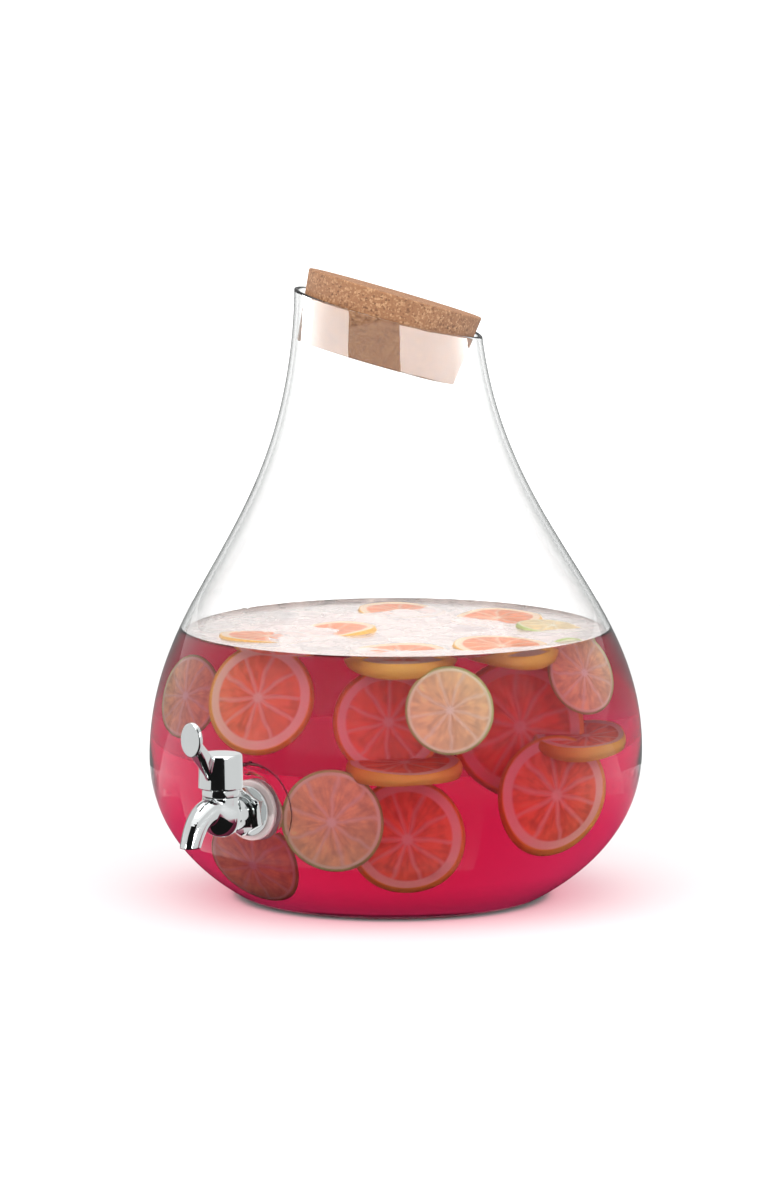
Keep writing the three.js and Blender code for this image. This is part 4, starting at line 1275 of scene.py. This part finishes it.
def slice_tree():
    """Geometry nodes for a cut citrus slice: a disc whose rim is rounded, with wedges of pulp
    that swell between their membranes, and a slight warp."""
    tree = bpy.data.node_groups.new("Citrus slice", "GeometryNodeTree")
    interface = tree.interface
    interface.new_socket("Geometry", in_out="OUTPUT", socket_type="NodeSocketGeometry")
    inputs = [
        ("Radius", "NodeSocketFloat", 0.03), ("Thickness", "NodeSocketFloat", 0.005),
        ("Segments", "NodeSocketInt", 10), ("Swell", "NodeSocketFloat", 0.0004),
        ("Warp", "NodeSocketFloat", 0.001), ("Seed", "NodeSocketFloat", 0.0),
        ("Material", "NodeSocketMaterial", None),
    ]
    for name, kind, value in inputs:
        socket = interface.new_socket(name, in_out="INPUT", socket_type=kind)
        if value is not None:
            socket.default_value = value
    given = add(tree, "NodeGroupInput").outputs
    disc = add(tree, "GeometryNodeMeshCylinder", {
        "Vertices": 120, "Side Segments": 6, "Fill Segments": 22,
        "Radius": given["Radius"], "Depth": given["Thickness"],
    })
    place = add(tree, "GeometryNodeInputPosition").outputs[0]
    shares = add(tree, "ShaderNodeCombineXYZ", {
        0: given["Radius"], 1: given["Radius"], 2: given["Thickness"],
    })
    cut = add(tree, "ShaderNodeVectorMath", {0: place, 1: shares.outputs[0]}, operation="DIVIDE")
    kept = add(tree, "GeometryNodeStoreNamedAttribute", {
        "Geometry": disc.outputs["Mesh"], "Name": "cut", "Value": cut.outputs[0],
    }, data_type="FLOAT_VECTOR", domain="POINT")
    split = add(tree, "ShaderNodeSeparateXYZ", {0: cut.outputs[0]})
    x, y, lift = (split.outputs[axis] for axis in "XYZ")

    def worked(operation, a, b=0.0, c=0.0):
        """What a maths node makes of up to three values."""
        return add(tree, "ShaderNodeMath", {0: a, 1: b, 2: c}, operation=operation).outputs[0]

    flat = add(tree, "ShaderNodeCombineXYZ", {0: x, 1: y})
    out = add(tree, "ShaderNodeVectorMath", {0: flat.outputs[0]}, operation="LENGTH")
    out = out.outputs["Value"]
    turn = worked("MULTIPLY", worked("ARCTAN2", y, x), 1 / TAU)
    sector = worked("FRACT", worked("MULTIPLY", turn, given["Segments"]))
    hump = worked("SINE", worked("MULTIPLY", sector, math.pi))
    within = worked("SINE", worked("MULTIPLY", worked("MINIMUM", out, 0.86), math.pi / 0.86))
    pulp = worked("MULTIPLY", worked("POWER", hump, 0.5), within)
    noise_place = add(tree, "ShaderNodeVectorMath", {0: cut.outputs[0], 1: given["Seed"]},
                      operation="ADD")
    grain = add(tree, "ShaderNodeTexNoise", {"Vector": noise_place.outputs[0], "Scale": 9.0,
                                             "Detail": 2.0})
    rough_pulp = worked("MULTIPLY", pulp, worked("ADD", grain.outputs["Fac"], 0.5))
    raised = worked("MULTIPLY", worked("MULTIPLY", rough_pulp, given["Swell"]),
                    worked("MULTIPLY", lift, 2.0))
    # The rim is eased over its last twentieth, and the rind is a little full at mid thickness.
    edge = worked("MAXIMUM", worked("MULTIPLY_ADD", out, 20.0, -19.0), 0.0)
    eased = worked("MULTIPLY", worked("MULTIPLY", edge, lift),
                   worked("MULTIPLY", given["Thickness"], -0.22))
    swing = add(tree, "ShaderNodeTexNoise", {"Vector": noise_place.outputs[0], "Scale": 0.7,
                                             "Detail": 0.0})
    bend = worked("MULTIPLY", worked("SUBTRACT", swing.outputs["Fac"], 0.5),
                  worked("MULTIPLY", given["Warp"], 4.0))
    upward = worked("ADD", worked("ADD", raised, eased), bend)
    full = worked("MULTIPLY", worked("MULTIPLY", lift, lift), -0.16)
    outward = add(tree, "ShaderNodeVectorMath", {
        0: add(tree, "ShaderNodeCombineXYZ", {0: x, 1: y}).outputs[0],
        "Scale": worked("MULTIPLY", worked("MULTIPLY", full, edge), given["Radius"]),
    }, operation="SCALE")
    offset = add(tree, "ShaderNodeVectorMath", {
        0: outward.outputs[0],
        1: add(tree, "ShaderNodeCombineXYZ", {2: upward}).outputs[0],
    }, operation="ADD")
    moved = add(tree, "GeometryNodeSetPosition", {
        "Geometry": kept.outputs["Geometry"], "Offset": offset.outputs[0],
    })
    smooth = add(tree, "GeometryNodeSetShadeSmooth", {"Geometry": moved.outputs["Geometry"]})
    real = add(tree, "GeometryNodeRealizeInstances", {"Geometry": smooth.outputs[0]})
    painted = add(tree, "GeometryNodeSetMaterial", {
        "Geometry": real.outputs["Geometry"], "Material": given["Material"],
    })
    add(tree, "NodeGroupOutput", {"Geometry": painted.outputs["Geometry"]})
    return tree


def grown(name, tree, values):
    """Plain mesh from a geometry node tree, with its named inputs set."""
    seed = new_object(name, bpy.data.meshes.new(name))
    modifier = seed.modifiers.new("grow", "NODES")
    modifier.node_group = tree
    for item in tree.interface.items_tree:
        if item.item_type == "SOCKET" and item.in_out == "INPUT" and item.name in values:
            modifier[item.identifier] = values[item.name]
    bpy.context.view_layer.update()
    made = bpy.data.meshes.new_from_object(
        seed.evaluated_get(bpy.context.evaluated_depsgraph_get()))
    bpy.data.objects.remove(seed)
    made.name = name
    return made


# Each slice: fruit, diameter in mm, bearing in degrees round the vessel from the front (which
# lies between the spigot and the low side of the mouth), distance from the axis in mm, height in
# mm, then its facing: bearing off the front and tilt above level in degrees, and its spin.
SLICES = [
    ("lime", 50, 15, 126, 127, 3, 10, 10),
    ("lime", 46, 58, 127, 136, 22, 12, 40),
    ("lime", 57, -15, 130, 64, -3, 4, 65),
    ("lime", 52, -40, 122, 38, -22, -6, 20),
    ("lime", 46, -67, 121, 121, -30, 12, 0),
    ("orange", 63, -37, 124, 127, -12, 22, 30),
    ("orange", 65, 45, 130, 72, 12, 20, 15),
    ("orange", 70, 53, 80, 105, 8, 8, 50),
    ("orange", 58, -1, 87, 114, 2, 12, 5),
    ("orange", 62, 5, 95, 54, 3, 12, 25),
    ("orange", 62, 4, 100, 91, 3, 86, 12),
    ("orange", 60, 64, 112, 98, 15, 84, 80),
]

# Slices that float flat: fruit, diameter in mm, bearing, distance from the axis in mm, height of
# the middle above the surface in mm, tilt and its bearing in degrees, and spin.
FLOATING = [
    ("orange", 62, 3, 94, -5.0, 5, 0, 12),
    ("orange", 58, 42, 94, -4.0, 6, 40, 50),
    ("orange", 58, -70, 77, -4.2, 5, 120, 33),
    ("orange", 52, -86, 34, -3.6, 7, -60, 5),
    ("orange", 56, 126, 78, -3.9, 6, -30, 71),
    ("orange", 54, 176, 82, -4.2, 5, 30, 17),
    ("lime", 44, 98, 96, -1.8, 5, 75, 28),
]
WALL_ROOM = 1.5 * MM                # between a slice and the glass
BACK_STEP = 0.5 * MM                # a slice that touches the glass moves back by this,
MOST_STEPS = 200                    # up to so many times,
CLOSING_IN = 2.6                    # and this much towards the middle for each metre off it


def front_bearing():
    """Bearing of the camera's side of the vessel, from +X towards +Y."""
    return bpy.context.scene.dispenser.studio.bearing - math.pi / 2


def slice_place(bearing, radius, height, facing, tilt, spin):
    """Where a slice goes: its middle, the way its face looks, and its spin about that."""
    middle = front_bearing() + math.radians(bearing)
    look = front_bearing() + math.radians(facing)
    move = Matrix.Translation((radius * MM * math.cos(middle), radius * MM * math.sin(middle),
                               height))
    turn = Matrix.Rotation(look, 4, "Z") @ Matrix.Rotation(math.pi / 2 - math.radians(tilt), 4, "Y")
    return move @ turn @ Matrix.Rotation(math.radians(spin), 4, "Z")


def settled(wall, place, radius, thickness):
    """The place moved back from the front until the slice clears the glass all round."""
    turns = np.arange(48) * TAU / 48
    rim = [Vector((radius * math.cos(a), radius * math.sin(a), side * thickness / 2))
           for a in turns for side in (-1, 1)]
    front = Vector((math.cos(front_bearing()), math.sin(front_bearing()), 0.0))
    across = Vector((-front.y, front.x, 0.0))
    for _ in range(MOST_STEPS):
        points = np.array([place @ point for point in rim])
        sway = wall.sway(points[:, 2])
        from_axis = np.hypot(points[:, 0] - sway * wall.side[0],
                             points[:, 1] - sway * wall.side[1])
        room = np.interp(points[:, 2], wall.inner[:, 1], wall.inner[:, 0]) - from_axis
        if room.min() > WALL_ROOM:
            break
        aside = place.translation.dot(across)
        # Seen through the drink, a slice keeps its place as it moves back along this line.
        back = -front - across * aside * CLOSING_IN
        place = Matrix.Translation(back * BACK_STEP) @ place
    return place


# ---------------------------------------------------------------- setting a piece in place

def place_piece(name, mesh, body, material, replaces=()):
    """Makes the piece, gives it its finish, and hangs it on its body."""
    piece = new_object(name, mesh)
    if not mesh.materials:
        mesh.materials.append(material)
    if replaces:
        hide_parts(*replaces)
    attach(piece, body)
    return piece


def settings(name):
    return getattr(bpy.context.scene.dispenser, name)


MADE = {}


def finish_once(maker, *inputs):
    """A material made once and then shared by the pieces that have that finish."""
    if maker.__name__ not in MADE:
        MADE[maker.__name__] = maker(*inputs)
    return MADE[maker.__name__]


# ---------------------------------------------------------------- operators

class DISPENSER_OT_vessel(bpy.types.Operator):
    """Blow the glass vessel, with its slanted rim and pressed, drilled seat"""

    bl_idname = "dispenser.vessel"
    bl_label = "Glass Vessel"

    def execute(self, context):
        v = settings("vessel")
        mesh = drilled(vessel_mesh(v), v.hole_radius)
        mesh.name = "vessel_glass"
        place_piece("vessel_glass", mesh, "vessel", glass_material(v, settings("drink").level),
                    ["glass_vessel"])
        return {"FINISHED"}


class DISPENSER_OT_stopper(bpy.types.Operator):
    """Grind the cork stopper and seat it in the mouth"""

    bl_idname = "dispenser.stopper"
    bl_label = "Cork Stopper"

    def execute(self, context):
        s = settings("stopper")
        wall = Wall(settings("vessel"))
        low = s.radius_at_rim - s.taper * (s.length - s.proud)
        high = s.radius_at_rim + s.taper * s.proud
        outline = [(0.0, 0.0)]
        outline += [(low * share, 0.0) for share in (0.25, 0.5, 0.75)]
        outline.append((low, 0.0))
        outline += [(low + (high - low) * share, s.length * share)
                    for share in np.linspace(0.08, 0.92, 22)]
        outline.append((high, s.length))
        outline += [(high * share, s.length) for share in (0.75, 0.5, 0.25)]
        outline.append((0.0, s.length))
        outline = rounded(outline, s.edge, 4)
        seat = (Matrix.Rotation(settings("vessel").low_side, 4, "Z")
                @ Matrix.Translation((float(wall.sway(wall.mouth)) + s.shift, -s.set_back,
                                      wall.mouth))
                @ Matrix.Rotation(s.tilt, 4, "Y") @ Matrix.Rotation(-s.lean, 4, "X")
                @ Matrix.Translation((0, 0, s.proud - s.length)))
        mesh = turned("stopper_cork", outline, 192, seat)
        place_piece("stopper_cork", mesh, "stopper", cork_material(s), ["cork_stopper"])
        return {"FINISHED"}


class DISPENSER_OT_spout(bpy.types.Operator):
    """Cast and polish the spigot body with its spout"""

    bl_idname = "dispenser.spout"
    bl_label = "Spigot Body"

    def execute(self, context):
        place_piece("spigot_casting", spout_body_mesh(settings("spigot")), "vessel",
                    finish_once(polished_steel), ["spout_body"])
        return {"FINISHED"}


class DISPENSER_OT_handle(bpy.types.Operator):
    """Cast and polish the quarter-turn handle"""

    bl_idname = "dispenser.handle"
    bl_label = "Handle"

    def execute(self, context):
        mesh = handle_mesh(settings("handle"), settings("spigot").cell)
        place_piece("handle_casting", mesh, "tap_handle", finish_once(polished_steel),
                    ["handle"])
        return {"FINISHED"}


def reach_of(node):
    """How far out from the seat a piece on the shank starts and ends."""
    low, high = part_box(node)
    return SEAT_Y - high.y, SEAT_Y - low.y


class DISPENSER_OT_fastenings(bpy.types.Operator):
    """Turn the washers, nuts and bonnet ring that hold the spigot together"""

    bl_idname = "dispenser.fastenings"
    bl_label = "Washers and Nuts"

    def execute(self, context):
        s = settings("spigot")
        bore = s.shank_radius + TOUCH_GAP
        for node in ("outer_washer", "inner_washer"):
            start, end = reach_of(node)
            outline = rounded(ring_outline(bore, s.washer_radius, start, end), 1.0 * MM, 6, True)
            place_piece(node + "_soft", turned(node, outline, 120, along_shank(), True),
                        "vessel", finish_once(silicone), [node])
        start, end = reach_of("outer_flange_nut")
        nut = hex_nut("flange_nut_hex", s.nut_flats, bore, start, end, s.nut_flange, 2 * MM)
        place_piece("flange_nut_hex", nut, "vessel", finish_once(polished_steel),
                    ["outer_flange_nut"])
        start, end = reach_of("lock_nut")
        place_piece("lock_nut_hex", hex_nut("lock_nut_hex", s.nut_flats, bore, start, end),
                    "vessel", finish_once(turned_steel), ["lock_nut"])
        start, end = reach_of("inner_flat_washer")
        outline = rounded(ring_outline(bore, s.flat_washer, start, end), 0.25 * MM, 3, True)
        place_piece("flat_washer_steel", turned("flat", outline, 120, along_shank(), True),
                    "vessel", finish_once(turned_steel), ["inner_flat_washer"])
        low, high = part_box("bonnet_ring")
        bottom, top = low.z - SHANK_Z, high.z - SHANK_Z
        seat = s.neck_top + TOUCH_GAP
        stem = 5.8 * MM
        insert = s.chamber_radius - TOUCH_GAP
        outline = rounded([(stem, bottom), (insert, bottom), (insert, seat),
                           (s.neck_radius, seat), (s.neck_radius, top), (stem, top)],
                          0.4 * MM, 4, True)
        place_piece("bonnet_ring_turned", turned("bonnet", outline, 120, up_valve(), True),
                    "vessel", finish_once(polished_steel), ["bonnet_ring"])
        return {"FINISHED"}


class DISPENSER_OT_valve(bpy.types.Operator):
    """Finish the sleeve, plug, seals and screw inside the valve"""

    bl_idname = "dispenser.valve"
    bl_label = "Valve Parts"

    def execute(self, context):
        finishes = {
            "valve_sleeve": (silicone, "silicone"),
            "valve_plug": (turned_steel, "plain_steel"),
            "stem_o_ring_lower": (nitrile, "dark_rubber"),
            "stem_o_ring_upper": (nitrile, "dark_rubber"),
            "thrust_washer": (nylon, "nylon"),
            "handle_grub_screw": (turned_steel, "plain_steel"),
        }
        for node, (maker, slot) in finishes.items():
            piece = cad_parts[node]
            piece.data.materials.clear()
            piece.data.materials.append(finish_once(maker))
        return {"FINISHED"}


class DISPENSER_OT_drink(bpy.types.Operator):
    """Fill the vessel with punch"""

    bl_idname = "dispenser.drink"
    bl_label = "Drink"

    def execute(self, context):
        d = settings("drink")
        mesh = drink_mesh(settings("vessel"), d)
        mesh.materials.append(drink_material(d))
        mesh.materials.append(fizz_material(d))
        place_piece("drink", mesh, "vessel", None)
        return {"FINISHED"}


class DISPENSER_OT_fruit(bpy.types.Operator):
    """Cut the limes and oranges and drop them into the drink"""

    bl_idname = "dispenser.fruit"
    bl_label = "Citrus Slices"

    def execute(self, context):
        d = settings("drink")
        wall = Wall(settings("vessel"))
        tree = slice_tree()
        finishes = {
            "lime": citrus_material("lime_slice_cut", d.lime_rind, d.lime_pulp,
                                    "#EFEBC6", "#F7EFD6", 9, 0.915),
            "orange": citrus_material("orange_slice_cut", d.orange_rind, d.orange_pulp,
                                      "#FFE3C4", "#FFDFC4", 10, 0.80),
        }
        thickness = {"lime": 4.5 * MM, "orange": 8 * MM}
        segments = {"lime": 9, "orange": 10}
        places = [(kind, size, slice_place(bearing, out, height * MM, facing, tilt, spin))
                  for kind, size, bearing, out, height, facing, tilt, spin in SLICES]
        places += [(kind, size, slice_place(bearing, out, d.level + up * MM, facing, 90 - tilt,
                                            spin))
                   for kind, size, bearing, out, up, tilt, facing, spin in FLOATING]
        for number, (kind, size, place) in enumerate(places, 1):
            name = f"{kind}_slice_{number:02d}"
            mesh = grown(name, tree, {
                "Radius": size / 2 * MM, "Thickness": thickness[kind],
                "Segments": segments[kind], "Seed": number * 3.7, "Material": finishes[kind],
            })
            mesh.transform(settled(wall, place, size / 2 * MM, thickness[kind]))
            place_piece(name, mesh, "vessel", finishes[kind])
        return {"FINISHED"}


CARD_COLUMNS = 61
CARD_ROWS = 9


def card(name, shader, place, ways, heights, seen_by):
    """Curved card round the part. place(bearing, v) gives its points, between two bearings off
    the front and two values of v. seen_by names the kinds of ray that see it."""
    turns = front_bearing() + np.radians(np.linspace(*ways, CARD_COLUMNS))
    points = [place(turn, v) for v in np.linspace(*heights, CARD_ROWS) for turn in turns]
    corners = (0, 1, CARD_COLUMNS + 1, CARD_COLUMNS)
    faces = [tuple(row * CARD_COLUMNS + i + corner for corner in corners)
             for row in range(CARD_ROWS - 1) for i in range(CARD_COLUMNS - 1)]
    mesh = bpy.data.meshes.new(name)
    mesh.from_pydata(points, [], faces)
    mesh.materials.append(shader)
    made = new_object(name, mesh)
    made.visible_camera = False
    made.visible_shadow = False
    made.visible_diffuse = "diffuse" in seen_by
    made.visible_glossy = "glossy" in seen_by
    made.visible_transmission = "transmission" in seen_by
    made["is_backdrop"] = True
    return made


def upright(radius):
    """Places on an upright card at a radius: v is the height."""
    return lambda turn, v: (radius * math.cos(turn), radius * math.sin(turn), v)


def level_at(height):
    """Places on a level card at a height: v is the distance from the axis."""
    return lambda turn, v: (v * math.cos(turn), v * math.sin(turn), height)


def hugging(wall, away):
    """Places on a card that follows the vessel's wall at a distance: v is the height."""
    def place(turn, v):
        out = np.interp(v, wall.outer[:, 1], wall.outer[:, 0]) + away
        return (out * math.cos(turn), out * math.sin(turn), v)
    return place


def dome(radius):
    """Places on a dome: v is the elevation in degrees."""
    def place(turn, v):
        out = radius * math.cos(math.radians(v))
        return (out * math.cos(turn), out * math.sin(turn), radius * math.sin(math.radians(v)))
    return place


def emission(name, strength, shade=gray(1.0), one_sided=False):
    """Even light. One-sided light leaves the faces' outer side only."""
    material, tree, output = new_material(name)
    light = add(tree, "ShaderNodeEmission", {"Color": shade, "Strength": strength})
    if one_sided:
        behind = add(tree, "ShaderNodeNewGeometry").outputs["Backfacing"]
        power = add(tree, "ShaderNodeMath", {0: behind, 1: -strength, 2: strength},
                    operation="MULTIPLY_ADD")
        tree.links.new(power.outputs[0], light.inputs["Strength"])
    tree.links.new(light.outputs[0], output.inputs["Surface"])
    return material


class DISPENSER_OT_studio(bpy.types.Operator):
    """Set up the floor, the light and the camera"""

    bl_idname = "dispenser.studio"
    bl_label = "Studio"

    def glow_card(self, s):
        """Pink light under the belly, for the light that the drink passes down to the floor."""
        wall = Wall(settings("vessel"))
        profile = wall.outer + np.array([0.8 * MM, 0.0])
        turns = np.arange(72) * TAU / 72
        rings = [wall.ring(np.interp(z, profile[:, 1], profile[:, 0]), z, turns)
                 for z in np.linspace(3, 85, 18) * MM]
        glow = new_object("drink_glow", skin("drink_glow", rings))
        glow.data.materials.append(
            emission("drink_glow", s.glow, tuple(s.glow_colour), one_sided=True))
        glow.visible_camera = False
        glow.visible_glossy = False
        glow.visible_transmission = False
        glow.visible_shadow = False
        glow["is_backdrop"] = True

    def painted_floor_shadow(self):
        """Painted shadow and painted pink glow on the floor, as the glass and the drink see it:
        deep pink by the foot, white further out.
        """
        material, tree, output = new_material("painted_floor_shadow")
        place = add(tree, "ShaderNodeTexCoord").outputs["Object"]
        away = add(tree, "ShaderNodeVectorMath", {0: place}, operation="LENGTH")
        share = add(tree, "ShaderNodeMapRange", {
            "Value": away.outputs["Value"], "From Min": 0.09, "From Max": 0.5,
        })
        floor_shadow_ramp = add(tree, "ShaderNodeValToRGB", {0: share.outputs["Result"]})
        set_stops(floor_shadow_ramp, [(0.0, linear("#4A1424")), (0.25, linear("#9A4560")),
                          (0.55, linear("#DDA0AC")), (1.0, linear("#FFFFFF"))])
        light = add(tree, "ShaderNodeEmission", {0: floor_shadow_ramp.outputs["Color"], 1: 1.0})
        tree.links.new(light.outputs[0], output.inputs["Surface"])
        return material

    def execute(self, context):
        s = settings("studio")
        scene = context.scene
        scene.view_settings.view_transform = "Standard"

        world = bpy.data.worlds.new("white_surround")
        world.use_nodes = True
        world.node_tree.nodes.clear()
        sky = add(world.node_tree, "ShaderNodeBackground", {
            "Color": gray(1.0), "Strength": s.surround,
        })
        add(world.node_tree, "ShaderNodeOutputWorld", {"Surface": sky.outputs[0]})
        scene.world = world

        floor_mesh = bpy.data.meshes.new("floor")
        sides = 96
        reach = 1.3                 # past this the white surround takes over unseen
        floor_mesh.from_pydata([(reach * math.cos(a), reach * math.sin(a), -0.2 * MM)
                                for a in np.arange(sides) * TAU / sides],
                               [], [tuple(range(sides))])
        material, tree, output = new_material("floor_white")
        paint = add(tree, "ShaderNodeBsdfDiffuse", {"Color": gray(0.5)})
        tree.links.new(paint.outputs[0], output.inputs["Surface"])
        floor_mesh.materials.append(material)
        new_object("floor", floor_mesh)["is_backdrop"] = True

        dark = emission("black_cloth", 0.012)
        dim = emission("grey_back_wall", 0.3)
        pale = emission("pale_side_wall", s.wall_light)
        bright = emission("softbox", s.box_light)
        top = emission("overhead_softbox", s.top_light)
        # Gloss sees a room: black in front, pale at the sides and grey behind. Two softboxes
        # light it, with shelves under them that hide them from the spigot. All else sees the
        # white surround. Bearings are degrees off the front, lengths are metres.
        front, left, right, back = (-48, 14), (-130, -48), (14, 116), (116, 230)
        room, foot, shadow_end, box, shelf = 3.2, 0.088, 0.5, 1.5, 0.19
        for name, ways, shader in (("front", front, dark), ("left", left, pale),
                                   ("right", right, pale), ("back", back, dim)):
            card(name + "_wall", shader, dome(room), ways, (-5, 45), ("glossy",))
        floor = -0.1 * MM
        card("dark_floor_front", dark, level_at(floor), front, (0.15, room), ("glossy",))
        card("pale_floor_left", pale, level_at(floor), left, (0.3, room), ("glossy",))
        card("pale_floor_right", pale, level_at(floor), right, (0.3, room), ("glossy",))
        card("grey_floor_back", dim, level_at(floor), back, (0.3, room), ("glossy",))
        # Cards that carry the painted floor shadow and pink glow, seen only in gloss and through
        # the glass.
        floor_shadow_shader = self.painted_floor_shadow()
        card("painted_floor_shadow", floor_shadow_shader, level_at(floor), (front[1], front[0] + 360),
             (foot, shadow_end), ("glossy", "transmission"))
        card("painted_floor_shadow_front", floor_shadow_shader, level_at(floor), front, (0.15, shadow_end),
             ("transmission",))
        card("painted_floor_shadow_foot", floor_shadow_shader, level_at(floor), front, (foot, 0.15),
             ("glossy", "transmission"))
        card("left_shelf", pale, level_at(shelf), left, (0.2, 1.45), ("glossy",))
        card("right_shelf", pale, level_at(shelf), right, (0.2, 1.45), ("glossy",))
        card("left_softbox", bright, upright(box), (-126, -47), (0.2, 0.52), ("glossy",))
        card("right_softbox", bright, upright(box), (15, 112), (0.2, 0.66), ("glossy",))
        # The spigot mirrors this pale card instead of the dark drink beside it.
        card("spigot_bounce", pale, hugging(Wall(settings("vessel")), 5 * MM), (-64, 22),
             (0.03, 0.15), ("glossy",))
        card("front_fill", emission("front_fill", s.fill_light), dome(6.0), (-75, 75), (5, 60),
             ("diffuse", "transmission"))
        self.glow_card(s)
        card("overhead_softbox", top, level_at(2.2), (-180, 180), (0.01, 1.3),
             ("diffuse", "glossy", "transmission"))

        aim = Vector((0, 0, s.aim_height))
        back_way = Vector((math.sin(s.bearing) * math.cos(s.elevation),
                           -math.cos(s.bearing) * math.cos(s.elevation), math.sin(s.elevation)))
        camera = bpy.data.cameras.new("camera")
        camera.lens = s.lens
        camera.sensor_width = 36
        # The aim point stands a little off the middle of the view.
        camera.shift_x = -0.00125
        camera.shift_y = -0.0199
        camera.clip_end = 100
        view = new_object("camera", camera)
        view.location = aim + back_way * s.distance
        view.rotation_euler = (-back_way).to_track_quat("-Z", "Y").to_euler()
        scene.camera = view
        return {"FINISHED"}


OPERATORS = (
    DISPENSER_OT_studio,
    DISPENSER_OT_vessel,
    DISPENSER_OT_stopper,
    DISPENSER_OT_spout,
    DISPENSER_OT_handle,
    DISPENSER_OT_fastenings,
    DISPENSER_OT_valve,
    DISPENSER_OT_drink,
    DISPENSER_OT_fruit,
)


class DISPENSER_PT_pieces(bpy.types.Panel):
    """Lists the dispenser's pieces in the order they are built"""

    bl_idname = "DISPENSER_PT_pieces"
    bl_label = "Drink Dispenser"
    bl_space_type = "VIEW_3D"
    bl_region_type = "UI"
    bl_category = "Dispenser"

    def draw(self, context):
        for operator in OPERATORS:
            self.layout.operator(operator.bl_idname)


CLASSES = (*SETTINGS.values(), DispenserSettings, *OPERATORS, DISPENSER_PT_pieces)


def register():
    for item in CLASSES:
        bpy.utils.register_class(item)
    bpy.types.Scene.dispenser = PointerProperty(type=DispenserSettings)


def unregister():
    del bpy.types.Scene.dispenser
    for item in reversed(CLASSES):
        bpy.utils.unregister_class(item)


def main():
    register()
    for operator in OPERATORS:
        group, name = operator.bl_idname.split(".")
        getattr(getattr(bpy.ops, group), name)()
    boxes = {"cad": CAD_BOX, "visual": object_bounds()}
    {name: [list(corner) for corner in box] for name, box in boxes.items()}


if __name__ == "__main__":
    main()
